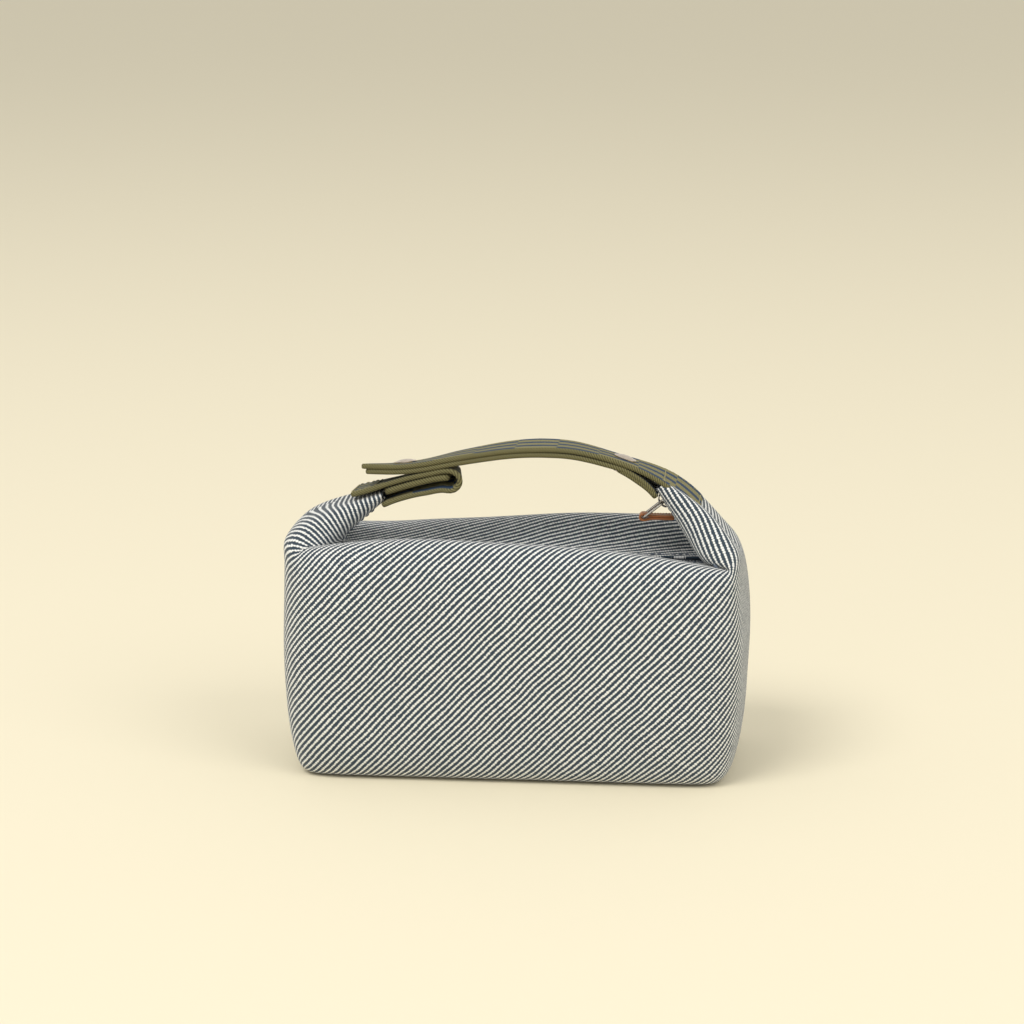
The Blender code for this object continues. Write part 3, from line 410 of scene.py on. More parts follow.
def cloth_cage(side):
    """Coarse cage of one panel: points, quads, flat-cut places and the quads' corners in the cut."""
    points, flat, index, cut = [], [], {}, {}

    def put(key, place, flat_place):
        index[key] = len(points)
        cut[key] = len(flat)
        points.append((place[0], side * max(place[1], SEAM), place[2]))
        flat.append(flat_place)

    last, top_row = len(COLUMNS) - 1, len(WALL_ROWS) - 1
    for row, height in enumerate(WALL_ROWS):
        length, depth = HALF_LENGTHS[row], HALF_DEPTHS[row]
        inset = CORNER * (0.5, 0.8, 1.0, 1.0, 1.0)[row]
        z = height * WALL_TOP
        up = HALF_DEPTH + z
        for column, share in enumerate(COLUMNS):
            end = column in (0, last)
            drawn = inset * (1.0 - 0.35 * height) if share > 0 else inset
            x = share * (length - drawn if end else length - drawn / 2)
            y = depth - 0.7 * drawn if end else depth
            put(("wall", column, row), (x, y, z), (share * HALF_LENGTH, up))
        for hand in (-1, 1):
            for step in range(1, SIDE_STEPS + 1):
                share = step / SIDE_STEPS
                place = (hand * (length - inset * SIDE_BOW[step - 1]), depth * (1 - share), z)
                put(("side", hand, step, row), place, (hand * (HALF_LENGTH + HALF_DEPTH * share), up))
    for step in range(1, SIDE_STEPS + 1):
        y = HALF_DEPTHS[0] * (1 - step / SIDE_STEPS)
        for column, share in enumerate(COLUMNS):
            key = ("base", column, step)
            flat_place = (share * HALF_LENGTH, HALF_DEPTH * (1 - step / SIDE_STEPS))
            if column in (0, last):
                index[key] = index["side", -1 if column == 0 else 1, step, 0]
                cut[key] = len(flat)
                flat.append(flat_place)
            else:
                put(key, (share * HALF_LENGTHS[0], y, 0.0), flat_place)

    ridge_x, ridge_z = zip(*RIDGE[side])
    top_steps = len(TOP_SHARES)
    for step in range(1, top_steps + 1):
        for column, share in enumerate(COLUMNS):
            end = column in (0, last)
            foot = ZIP_FOOT[-1 if share < 0 else 1]
            reach = HALF_LENGTHS[-1] - foot * math.sin(step / top_steps * math.pi / 2)
            x = share * (reach if end else min(HALF_LENGTHS[-1], reach * 1.06))
            crest = float(np.interp(x, ridge_x, ridge_z))
            raised = (5 * crest - 101) / 4
            z = (0, raised, VALLEY + 0.55 * (crest - VALLEY), VALLEY + 1.0, VALLEY)[step]
            if end and step < top_steps:
                z = VALLEY + (z - VALLEY) * (0.95 if share < 0 else 0.8)
            y = ZIP_EDGE if step == top_steps else TOP_SHARES[step] * HALF_DEPTHS[-1]
            put(("top", column, step), (x, y, z), (share * HALF_LENGTH, HALF_DEPTH + WALL_TOP + step * 13.0))

    def edge_key(hand, place):
        column = 0 if hand < 0 else last
        if place < SIDE_STEPS:
            return ("side", hand, SIDE_STEPS - place, top_row)
        return ("wall", column, top_row) if place == SIDE_STEPS else ("top", column, place - SIDE_STEPS)

    places = len(HORN_ACROSS)
    for hand in (-1, 1):
        for station, (seam, zipped, front_width, back_width) in enumerate(HORN[hand], 1):
            width = front_width if side < 0 else back_width
            rise = HORN_CUT * station / len(HORN[hand])
            for place in range(places):
                share = HORN_TOWARDS_ZIP[side][place]
                spot = [seam[k] + (zipped[k] - seam[k]) * share for k in (0, 1)]
                if hand > 0:
                    fade = FULL_SHARES[place] * (1.0 if station < len(HORN[hand]) else 0.3)
                    spot = [spot[k] + RIGHT_FULLNESS[side][k] * fade for k in (0, 1)]
                y = max(HORN_ACROSS[place] * width, SEAM if place <= SIDE_STEPS else ZIP_EDGE)
                if place <= SIDE_STEPS:
                    lateral = (SIDE_STEPS - place) / SIDE_STEPS
                    out, up = rise + lateral * (HALF_DEPTH - rise), rise
                else:
                    lateral = (place - SIDE_STEPS) / (places - 1 - SIDE_STEPS)
                    out, up = rise, rise + lateral * (HALF_DEPTH - rise)
                put(("horn", hand, station, place), (spot[0], y, spot[1]),
                    (hand * (HALF_LENGTH + out), HALF_DEPTH + WALL_TOP + up))

    quads, cut_quads = [], []

    def quad(*keys):
        keys = keys if side < 0 else keys[::-1]
        quads.append([index[key] for key in keys])
        cut_quads.append([cut[key] for key in keys])

    def wall(column, row):
        return ("wall", column, row)

    def flank(hand, step, row):
        return ("side", hand, step, row) if step else ("wall", 0 if hand < 0 else last, row)

    def base(column, step):
        return ("base", column, step) if step else ("wall", column, 0)

    def top(column, step):
        return ("top", column, step) if step else ("wall", column, top_row)

    def horn(hand, station, place):
        return ("horn", hand, station, place) if station else edge_key(hand, place)

    for column in range(last):
        for row in range(top_row):
            quad(wall(column, row), wall(column + 1, row), wall(column + 1, row + 1), wall(column, row + 1))
        for step in range(SIDE_STEPS):
            quad(base(column, step), base(column, step + 1),
                 base(column + 1, step + 1), base(column + 1, step))
        for step in range(top_steps):
            quad(top(column, step), top(column + 1, step), top(column + 1, step + 1), top(column, step + 1))
    for hand in (-1, 1):
        for row in range(top_row):
            for step in range(SIDE_STEPS):
                ring = [flank(hand, step, row), flank(hand, step, row + 1),
                        flank(hand, step + 1, row + 1), flank(hand, step + 1, row)]
                quad(*ring[:: -hand])
        for station in range(len(HORN[hand])):
            for place in range(places - 1):
                ring = [horn(hand, station, place), horn(hand, station + 1, place),
                        horn(hand, station + 1, place + 1), horn(hand, station, place + 1)]
                quad(*ring[::hand])
    line = [index["horn", -1, station, places - 1] for station in range(len(HORN[-1]), 0, -1)]
    line += [index["top", column, top_steps] for column in range(last + 1)]
    line += [index["horn", 1, station, places - 1] for station in range(1, len(HORN[1]) + 1)]
    return np.array(points, float), quads, np.array(flat, float), cut_quads, line


def subdivided(points, quads, levels, on_limit=True):
    """Catmull-Clark subdivision. It gives the points and the quads, in an order set by the quads alone."""
    flat = points if points.shape[1] == 3 else np.column_stack([points, np.zeros(len(points))])
    holder = in_scene("cage", bare_mesh("cage", flat, quads))
    rounding = holder.modifiers.new("Rounding", "SUBSURF")
    rounding.levels = rounding.render_levels = levels
    rounding.boundary_smooth = "PRESERVE_CORNERS"
    rounding.use_limit_surface = on_limit
    graph = bpy.context.evaluated_depsgraph_get()
    fine = bpy.data.meshes.new_from_object(holder.evaluated_get(graph))
    bpy.data.objects.remove(holder)
    spots = np.empty(len(fine.vertices) * 3)
    fine.vertices.foreach_get("co", spots)
    corners = np.empty(len(fine.loops), int)
    fine.loops.foreach_get("vertex_index", corners)
    bpy.data.meshes.remove(fine)
    return spots.reshape(-1, 3), corners.reshape(-1, 4)


PIN_WEIGHT = 1000.0  # keeps one point in the middle of the wall where the first guess has it


def unrolled(places, corners, start, twist, rounds=25):
    """Lays the cloth flat with as little stretch as it can, from a first guess.

    places holds the 3-D place of every quad corner, so that a cut can part two corners that are sewn
    together. It turns each triangle rigidly, then fits the points to all of them, and repeats. At the
    last fit every triangle is turned by twist of its middle as well, in radians.
    """
    count = len(start)
    triangles, spots = [], []
    for pick in ((0, 1, 2), (0, 2, 3), (1, 2, 3), (1, 3, 0)):
        triangles.append(corners[:, pick])
        spots.append(places[:, pick])
    triangles, spots = np.concatenate(triangles), np.concatenate(spots)
    first = spots[:, 1] - spots[:, 0]
    second = spots[:, 2] - spots[:, 0]
    long = np.linalg.norm(first, axis=1)
    way = first / long[:, None]
    shadow = (second * way).sum(1)
    height = np.sqrt(np.maximum((second**2).sum(1) - shadow**2, 1e-9))
    local = np.zeros((len(triangles), 3, 2))
    local[:, 1, 0] = long
    local[:, 2] = np.column_stack([shadow, height])
    guess = start[triangles]
    mirrored = np.cross(guess[:, 1] - guess[:, 0], guess[:, 2] - guess[:, 0]) < 0
    local[mirrored, :, 1] *= -1
    weights = []
    for k in range(3):
        a, b, c = local[:, k], local[:, (k + 1) % 3], local[:, (k + 2) % 3]
        weights.append(np.clip(((a - c) * (b - c)).sum(1) / np.abs(np.cross(a - c, b - c)), 0.02, 8.0))
    system = np.zeros((count, count))
    for k in range(3):
        i, j, w = triangles[:, k], triangles[:, (k + 1) % 3], weights[k]
        np.add.at(system, (i, i), w)
        np.add.at(system, (j, j), w)
        np.add.at(system, (i, j), -w)
        np.add.at(system, (j, i), -w)
    pin = int(np.linalg.norm(start - np.array((0.0, HALF_DEPTH + 50.0)), axis=1).argmin())
    system[pin, pin] += PIN_WEIGHT
    solver = np.linalg.inv(system)
    uv = start.copy()
    extra = np.array([twist(*middle) for middle in spots.mean(axis=1)])
    closer = 1 + CLOSER * np.abs(extra) / math.radians(HORN_TWIST)
    held = np.zeros(count)
    held[triangles[np.abs(extra) < 1e-6]] = HOLD
    for step in range(rounds):
        now = uv[triangles]
        matrix = np.zeros((len(triangles), 2, 2))
        for k in range(3):
            there = now[:, k] - now[:, (k + 1) % 3]
            here = local[:, k] - local[:, (k + 1) % 3]
            matrix += weights[k][:, None, None] * there[:, :, None] * here[:, None, :]
        cosine = matrix[:, 0, 0] + matrix[:, 1, 1]
        sine = matrix[:, 1, 0] - matrix[:, 0, 1]
        size = np.maximum(np.hypot(cosine, sine), 1e-12)
        cosine, sine = cosine / size, sine / size
        if step == rounds - 1:
            solver = np.linalg.inv(system + np.diag(held))
            more, less = np.cos(extra) * closer, np.sin(extra) * closer
            cosine, sine = cosine * more - sine * less, sine * more + cosine * less
        wanted = np.zeros((count, 2))
        for k in range(3):
            here = local[:, k] - local[:, (k + 1) % 3]
            x, y = here.T
            there = np.column_stack([cosine * x - sine * y, sine * x + cosine * y])
            there *= weights[k][:, None]
            np.add.at(wanted, triangles[:, k], there)
            np.add.at(wanted, triangles[:, (k + 1) % 3], -there)
        wanted[pin] += PIN_WEIGHT * start[pin]
        if step == rounds - 1:
            wanted += held[:, None] * uv
        uv = solver @ wanted
    return uv


def quad_normals(points, corners):
    spots = points[corners]
    area = np.cross(spots[:, 2] - spots[:, 0], spots[:, 3] - spots[:, 1])
    normals = np.zeros_like(points)
    for k in range(4):
        np.add.at(normals, corners[:, k], area)
    return unit(normals)


def rim_of(corners):
    """Points on the open edge, in pairs, each in the order of its face."""
    ends = np.concatenate([corners[:, [k, (k + 1) % 4]] for k in range(4)])
    keys = {(int(a), int(b)) for a, b in ends}
    return [(a, b) for a, b in keys if (b, a) not in keys]


CLOTH_THICK = 1.4
BACK_CUT = 30.0  # degrees that the back panel's lines lie lower than the front's
HORN_TWIST = 62.0  # degrees that the cloth is drawn round the left horn
CLOSER = 0.30  # and how much closer its lines lie there
HOLD = 4.0  # how firmly the rest of the cloth is kept where it lay before the twist


def left_horn_twist(x, y, z):
    """The cloth of the left horn is drawn round it, so that its lines run round it and not along."""
    share = min(1.0, max(0.0, (z - 111.0) / 6.0)) * min(1.0, max(0.0, (-56.0 - x) / 8.0))
    return math.radians(HORN_TWIST) * share * share * (3 - 2 * share)


def no_twist(x, y, z):
    return 0.0


UNROLL_LEVEL = 1
CLOTH_LEVEL = 4


def make_cloth(side, name):
    """One panel with its thickness. It gives the object, its zip edge and the flat cut's size."""
    cage, quads, flat, cut_quads, line = cloth_cage(side)
    coarse, coarse_corners = subdivided(cage, quads, UNROLL_LEVEL)
    refined, refined_corners = subdivided(cage, quads, UNROLL_LEVEL, False)
    spots, corners = subdivided(refined, refined_corners, CLOTH_LEVEL - UNROLL_LEVEL)
    guess, cut_corners = subdivided(flat, cut_quads, UNROLL_LEVEL)
    twist = left_horn_twist if side < 0 else no_twist
    uv = unrolled(coarse[coarse_corners], cut_corners, guess[:, :2], twist)
    size = uv.max(0)[:2] - uv.min(0)[:2]
    if side > 0:
        turn = math.radians(BACK_CUT)
        uv = uv @ np.array(((-math.cos(turn), -math.sin(turn)), (-math.sin(turn), math.cos(turn))))
    fine_uv, fine_corners = subdivided(uv, cut_corners, CLOTH_LEVEL - UNROLL_LEVEL)
    per_corner = fine_uv[fine_corners.ravel(), :2]

    normals = quad_normals(spots, corners)
    rim = rim_of(corners)
    near_seam = np.abs(spots[:, 1]) < 2 * SEAM
    normals[near_seam, 1] = 0.0
    normals = unit(normals)
    spots = spots + normals * settled(spots)[:, None]

    count = len(spots)
    both = np.concatenate([spots, spots - normals * CLOTH_THICK])
    faces = [list(face) for face in corners] + [[v + count for v in face[::-1]] for face in corners]
    faces += [[b, a, a + count, b + count] for a, b in rim]
    made = mesh_object(name, both * MM, faces, twill)
    place_of = {}
    for vertex, place in zip(corners.ravel(), per_corner):
        place_of.setdefault(int(vertex), place)
    rim_uv = [[place_of[b], place_of[a], place_of[a], place_of[b]] for a, b in rim]
    back = per_corner.reshape(-1, 4, 2)[:, ::-1].reshape(-1, 2)
    map_pattern(made.data, np.concatenate([per_corner, back, np.array(rim_uv).reshape(-1, 2)]))
    quad = spots[corners]
    area = np.linalg.norm(np.cross(quad[:, 2] - quad[:, 0], quad[:, 3] - quad[:, 1]), axis=1).sum() / 2
    edge = shorter_way(rim, line[0], line[-1])
    return made, spots[edge], normals[edge], tuple(size * MM), area * MM * MM


def shorter_way(rim, start, end):
    """Points along the open edge from start to end, the shorter way round."""
    found = []
    for following in (dict(rim), {b: a for a, b in rim}):
        way = [start]
        while way[-1] != end and len(way) <= len(rim):
            way.append(following[way[-1]])
        found.append(way)
    return min(found, key=len)


def settled(spots):
    """How far the cloth stands out from its smooth shape, in mm, from slack and its own weight."""
    found = np.zeros(len(spots))
    for i, (x, y, z) in enumerate(spots):
        calm = min(1.0, max(0.0, z / 12.0)) * min(1.0, max(0.0, (132.0 - z) / 20.0))
        found[i] = calm * 0.9 * noise.noise(Vector((x / 46.0, y / 40.0 + 7.0, z / 34.0)))
    return found


front_cloth, front_edge, front_out, front_size, front_area = make_cloth(-1, "front_cloth")
back_cloth, back_edge, back_out, back_size, back_area = make_cloth(1, "back_cloth")


# ---- Webbing -------------------------------------------------------------------------------
STRAP_WIDTH = 30.0
STRAP_THICK = 2.5
RIB_DEPTH = 0.30
STRAP_STEP = 0.33
END_CORNER = 0.11  # radius of an end's corners, as a share of the width
RIB_SLANT = 1.1  # how far a rib leans along the strap over the strap's thickness, in mm


def strap(name, line, rolls, finish, width=STRAP_WIDTH, thick=STRAP_THICK, start=0.0, rib=RIB_DEPTH):
    """A woven strap along a line of X, Z places. rolls turns it about its own length, in degrees."""
    path = curve_through(line, STRAP_STEP)
    roll = np.radians(np.interp(np.linspace(0, 1, len(path)), np.linspace(0, 1, len(rolls)), rolls))
    tangent = unit(np.gradient(path, axis=0))
    forward = np.column_stack([tangent[:, 0], np.zeros(len(path)), tangent[:, 1]])
    normal = np.column_stack([-tangent[:, 1], np.zeros(len(path)), tangent[:, 0]])
    lateral = ACROSS * np.cos(roll)[:, None] - normal * np.sin(roll)[:, None]
    up = np.cross(forward, lateral)
    along = distance_along(path)
    centre = np.column_stack([path[:, 0], np.zeros(len(path)), path[:, 1]])

    half, high = width / 2, thick / 2
    flat_count, edge_count = 14, 9
    profile = []
    for k in range(flat_count):
        profile.append((-half + high + (width - thick) * k / (flat_count - 1), high, 0.0))
    for k in range(1, edge_count):
        angle = math.pi / 2 - math.pi * k / edge_count
        profile.append((half - high + high * math.cos(angle), high * math.sin(angle), 1.0))
    for k in range(flat_count):
        profile.append((half - high - (width - thick) * k / (flat_count - 1), -high, 0.0))
    for k in range(1, edge_count):
        angle = -math.pi / 2 - math.pi * k / edge_count
        profile.append((-half + high + high * math.cos(angle), high * math.sin(angle), 1.0))
    profile = np.array(profile)
    sides = len(profile)

    points, ropes, edges = [], [], []
    length = along[-1]
    corner = END_CORNER * width
    for i, at in enumerate(along):
        narrow = 0.0
        for away in (at, length - at):
            if away < corner:
                narrow = max(narrow, corner - math.sqrt(corner**2 - (corner - away) ** 2))
        thin = 1.0 - 0.35 * max(0.0, 1.0 - min(at, length - at) / 0.8)
        lean = profile[:, 1] / high * RIB_SLANT * np.sign(profile[:, 0])
        rope = 0.5 + 0.5 * np.sin(2 * math.pi * (at + start + lean * np.sign(profile[:, 0])) / RIB_PITCH)
        swell = profile[:, 2] * (rope - 0.6) * rib
        y = profile[:, 0] * (1 - narrow / half)
        reach = np.sign(profile[:, 0]) * swell
        points.append(centre[i] + np.outer(y + reach, lateral[i]) + np.outer(profile[:, 1] * thin, up[i]))
        ropes.append(rope)
        edges.append(profile[:, 2])
    rings = len(points)
    points = np.concatenate(points)
    faces = ring_faces(rings, sides)
    faces += end_faces(0, sides, edge_count, False)
    faces += end_faces((rings - 1) * sides, sides, edge_count, True)
    made = mesh_object(name, points * MM, faces, finish, 70.0)
    outside(made.data)
    numbers(made.data, "rope", np.concatenate(ropes))
    capped = np.concatenate(edges)
    capped[:sides] = capped[-sides:] = 1.0
    numbers(made.data, "edge", capped)
    corners = np.empty(len(made.data.loops), int)
    made.data.loops.foreach_get("vertex_index", corners)
    places = np.column_stack([np.repeat(along + start, sides), np.tile(profile[:, 0], rings)])
    map_pattern(made.data, places[corners])
    return made


def end_faces(first, sides, edge_count, turned):
    """Closes a strap's end with a strip of quads between its upper and lower edge."""
    ring = [first + k for k in range(sides)]
    half = sides // 2
    shift = (edge_count - 1) // 2
    top = [ring[(k - shift) % sides] for k in range(half + 1)]
    low = [ring[(sides - k - shift) % sides] for k in range(half + 1)]
    found = []
    for k in range(half):
        quad = [top[k], top[k + 1], low[k + 1], low[k]]
        quad = [v for i, v in enumerate(quad) if v not in quad[:i]]
        if len(quad) > 2:
            found.append(tuple(quad[::-1] if turned else quad))
    return found


def shifted(line, away):
    """A path of X, Z places moved sideways; up is positive where it runs towards +X."""
    line = np.array(line, float)
    tangent = unit(np.gradient(line, axis=0))
    return line + np.column_stack([-tangent[:, 1], tangent[:, 0]]) * away


LAYER = STRAP_THICK + 0.05
TOP_FACE = ((-74.8, 148.0), (-57, 148.5), (-45, 150.3), (-33, 153.1), (-20, 155.8), (-8, 158.0), (4, 159.4),
            (15, 159.8), (27, 159.1), (39, 156.6), (50, 153.4), (61, 149.8), (67, 147.4), (73, 144.4),
            (79, 140.5), (85, 135.6), (90.0, 130.6))
ROLLS = (11.5, 10.5, 9.0, 8.0, 6.8, 5.5, 4.6, 3.6, 3.0, 2.4, 2.0, 2.6, 3.4, 4.4, 5.2, 5.0, 3.0, 0.0, -3.0,
         -5.0, -6.0)
top_line = curve_through(TOP_FACE, 1.0)
upper_line = shifted(top_line, -STRAP_THICK / 2)
lower_line = shifted(top_line, -STRAP_THICK / 2 - LAYER)
upper_strap = strap("handle_upper_strap", upper_line, ROLLS, webbing, start=4.0)

split = int(np.abs(lower_line[:, 0] - 53.0).argmin())
under_tip = [*lower_line[2 : split : 6], (60.0, 144.2), (64.2, 141.0), (67.0, 138.0)]
lower_strap = strap("handle_lower_strap", under_tip, ROLLS[:17], webbing, start=14.0)

TAB_TOP = ((-80.0, 134.0), (-72.0, 136.1), (-64.0, 138.5), (-56.0, 140.8), (-48.0, 142.9), (-40.0, 144.7),
           (-34.0, 145.9))
TAB_FOLD = ((-30.2, 145.4), (-28.4, 142.9), (-29.9, 140.4))
TAB_LOW = ((-34.5, 139.9), (-41.0, 138.6), (-48.0, 136.8), (-56.0, 134.1), (-60.5, 132.2), (-65.0, 129.8))
tab_line = [*TAB_TOP, *TAB_FOLD, *TAB_LOW]
TAB_ROLLS = (4.0, 5.0, 7.0, 8.0, 8.0, 8.0, 8.0, 6.0, 4.0, 2.0, 0.0)
tip_line = ((49.0, 149.2), (53.0, 147.2), (57.0, 144.8), (61.0, 142.4), (64.8, 139.6), (68.2, 136.0))
tip_fold = strap("right_tip_fold", tip_line, (5.0, 5.0, 3.0, 2.0), webbing, STRAP_WIDTH - 0.6, 2.9, 3.0)
left_tab = strap("left_tab_strap", tab_line, TAB_ROLLS, webbing, start=2.0)
core_line = ((-63.0, 135.0), (-54.0, 137.9), (-46.0, 140.2), (-38.0, 142.1), (-31.6, 142.9))
tab_core = strap("left_tab_filling", core_line, (8.0, 8.0), core_finish, STRAP_WIDTH - 0.4, 3.3, 0.7)


# ---- Repeated pieces -----------------------------------------------------------------------
def placing_tree():
    """Geometry Nodes: one copy of Unit at every point, turned by the point's own directions."""
    tree = bpy.data.node_groups.new("Place along a line", "GeometryNodeTree")
    for name, kind in (("Geometry", "Geometry"), ("Unit", "Object"), ("Size", "Vector"),
                       ("Unevenness", "Float"), ("Seed", "Int"), ("Finish", "Material")):
        tree.interface.new_socket(name, in_out="INPUT", socket_type="NodeSocket" + kind)
    tree.interface.new_socket("Geometry", in_out="OUTPUT", socket_type="NodeSocketGeometry")

    def add(kind, **settings):
        made = tree.nodes.new(kind)
        for label, value in settings.items():
            setattr(made, label, value)
        return made

    source, result = add("NodeGroupInput"), add("NodeGroupOutput")
    info, place = add("GeometryNodeObjectInfo"), add("GeometryNodeInstanceOnPoints")
    turn = add("FunctionNodeAlignRotationToVector", axis="X")
    level = add("FunctionNodeAlignRotationToVector", axis="Z", pivot_axis="X")
    random = add("FunctionNodeRandomValue", data_type="FLOAT_VECTOR")
    random.inputs[0].default_value = (-1.0, -1.0, -1.0)
    random.inputs[1].default_value = (1.0, 1.0, 1.0)
    grow = add("ShaderNodeVectorMath", operation="MULTIPLY")
    spread = add("ShaderNodeVectorMath", operation="SCALE")
    one = add("ShaderNodeVectorMath", operation="ADD")
    one.inputs[1].default_value = (1.0, 1.0, 1.0)
    for attribute, socket in (("along", turn.inputs["Vector"]), ("out", level.inputs["Vector"])):
        read = add("GeometryNodeInputNamedAttribute", data_type="FLOAT_VECTOR")
        read.inputs["Name"].default_value = attribute
        tree.links.new(read.outputs["Attribute"], socket)
    realize, dress = add("GeometryNodeRealizeInstances"), add("GeometryNodeSetMaterial")
    for start, output, end, entry in (
        (source, "Geometry", place, "Points"),
        (source, "Unit", info, "Object"),
        (info, "Geometry", place, "Instance"),
        (turn, 0, level, "Rotation"),
        (level, 0, place, "Rotation"),
        (source, "Seed", random, "Seed"),
        (random, 0, spread, 0),
        (source, "Unevenness", spread, "Scale"),
        (spread, 0, one, 0),
        (one, 0, grow, 0),
        (source, "Size", grow, 1),
        (grow, 0, place, "Scale"),
        (place, 0, realize, 0),
        (realize, 0, dress, "Geometry"),
        (source, "Finish", dress, "Material"),
        (dress, 0, result, 0),
    ):
        tree.links.new(start.outputs[output], end.inputs[entry])
    return tree


PLACING = placing_tree()
REPEAT_SEED = 3


def directions(mesh, name, values):
    stored = mesh.attributes.new(name, "FLOAT_VECTOR", "POINT")
    stored.data.foreach_set("vector", np.asarray(values, np.float32).ravel())


def placed(name, spots, along, out, shape, size, finish, unevenness):
    """One mesh with a copy of shape at every spot (mm), its X along and its Z out."""
    mesh = bare_mesh(name, np.array(spots) * MM)
    directions(mesh, "along", along)
    directions(mesh, "out", out)
    holder = in_scene(name + "_points", mesh)
    repeat = holder.modifiers.new("Repeat", "NODES")
    repeat.node_group = PLACING
    values = {"Unit": shape, "Size": [s * MM for s in size], "Unevenness": unevenness}
    values |= {"Seed": REPEAT_SEED, "Finish": finish}
    for item in PLACING.interface.items_tree:
        if item.in_out == "INPUT" and item.name in values:
            repeat[item.identifier] = values[item.name]
    graph = bpy.context.evaluated_depsgraph_get()
    result = bpy.data.meshes.new_from_object(holder.evaluated_get(graph))
    bpy.data.objects.remove(holder)
    result.name = name
    result.materials.clear()
    result.materials.append(finish)
    result.shade_smooth()
    result.set_sharp_from_angle(angle=math.radians(50))
    return in_scene(name, result)


def unit_object(name, points, faces):
    """A shape of size 1 to be repeated. It isn't part of the scene."""
    mesh = bare_mesh(name, points, faces)
    outside(mesh)
    return bpy.data.objects.new(name, mesh)


def stitch_shape():
    """A thread lying on the cloth, sinking in at both ends."""
    points, sides = [], 6
    half = ((0.2, 0.46, 0.12), (0.42, 0.34, -0.12), (0.5, 0.10, -0.45))
    rings = [(-x, radius, rise) for x, radius, rise in half[::-1]] + list(half)
    for x, radius, rise in rings:
        for k in range(sides):
            angle = 2 * math.pi * k / sides
            points.append((x, radius * math.cos(angle), rise + radius * math.sin(angle)))
    faces = ring_faces(len(rings), sides) + end_caps(len(rings), sides)
    return unit_object("stitch", points, faces)


def tooth_shape():
    """A zip tooth: a foot on the tape, a neck, and a head that reaches past the middle."""
    half = ((-0.5, 0.0), (-0.5, 0.42), (-0.28, 0.55), (-0.36, 0.80), (-0.2, 1.0))
    outline = half + tuple((-x, y) for x, y in half[::-1])
    points = [(x, y, z) for z in (-0.5, 0.5) for x, y in outline]
    count = len(outline)
    return unit_object("tooth", points, end_caps(2, count) + ring_faces(2, count))


STITCH = stitch_shape()
TOOTH = tooth_shape()
TAPE_DEPTH = 1.9  # mm, from the cloth's face down to the tape's middle
TAPE_THICK = 0.8
TAPE_UNDER = 4.0  # how far the tape reaches under the cloth
TAPE_INNER = 1.7
TOOTH_PITCH = 1.5


def zip_frame():
    """The zip's middle line in mm, its direction and its outward side, evenly spaced."""
    middle = evened((front_edge + back_edge) / 2 * (1, 0, 1), TOOTH_PITCH / 2)
    along = unit(np.gradient(middle, axis=0))
    out = np.cross(along, -ACROSS)
    return middle, along, out * np.sign(out[len(out) // 2, 2])


ZIP_MIDDLE, ZIP_ALONG, ZIP_OUT = zip_frame()


def make_tape(side, name):
    """A woven tape that runs beside the teeth and under the cloth's folded edge."""
    across = np.linspace(TAPE_INNER, ZIP_EDGE + TAPE_UNDER, 7)
    points, faces = [], []
    rings, width = len(ZIP_MIDDLE), len(across)
    for level in (TAPE_DEPTH - TAPE_THICK / 2, TAPE_DEPTH + TAPE_THICK / 2):
        for i in range(rings):
            for y in across:
                sunk = level + 0.05 * max(0.0, y - ZIP_EDGE) ** 2
                points.append(ZIP_MIDDLE[i] - ZIP_OUT[i] * sunk + ACROSS * side * y)
    count = rings * width
    for i in range(rings - 1):
        for k in range(width):
            a = i * width + k
            if k < width - 1:
                faces.append((a, a + width, a + width + 1, a + 1))
                faces.append(tuple(v + count for v in (a, a + 1, a + width + 1, a + width)))
            if k in (0, width - 1):
                faces.append((a, a + width, a + width + count, a + count))
    for row in (0, (rings - 1) * width):
        faces += [(a, a + 1, a + 1 + count, a + count) for a in range(row, row + width - 1)]
    made = mesh_object(name, np.array(points) * MM, faces, tape_finish, 40.0)
    outside(made.data)
    return made


zip_tapes = {side: make_tape(side, name) for side, name in ((-1, "front_zip_tape"), (1, "back_zip_tape"))}


def make_teeth(side, name):
    """Every second place along the zip, so that the two rows' heads lie between each other."""
    first = 6 if side < 0 else 7
    picked = slice(first, len(ZIP_MIDDLE) - 6, 2)
    spots = ZIP_MIDDLE[picked] - ZIP_OUT[picked] * TAPE_DEPTH + ACROSS * side * 2.7
    ways, outs = ZIP_ALONG[picked] * -side, ZIP_OUT[picked]
    return placed(name, spots, ways, outs, TOOTH, (0.95, 2.9, 1.5), teeth_metal, 0.03)


zip_teeth = {side: make_teeth(side, name) for side, name in ((-1, "front_zip_teeth"), (1, "back_zip_teeth"))}


def make_zip_stitches(edge, out, side, name):
    """A row of stitches just outside the folded edge."""
    line = evened(np.concatenate([edge, out], axis=1), 1.0)[8:-8]
    line = line[[i for i in range(len(line)) if i % 4 < 3]]
    spots = evened(line[:, :3], 3.4)
    index = [int(np.linalg.norm(line[:, :3] - spot, axis=1).argmin()) for spot in spots]
    ways = unit(np.gradient(spots, axis=0))
    outs = unit(line[index, 3:])
    away = unit(np.cross(outs, ways))
    away *= np.sign(away[:, 1:2]) * side
    spots = spots + away * 2.2 + outs * 0.10
    return placed(name, spots, ways, outs, STITCH, (2.5, 0.85, 0.85), navy_thread, 0.08)


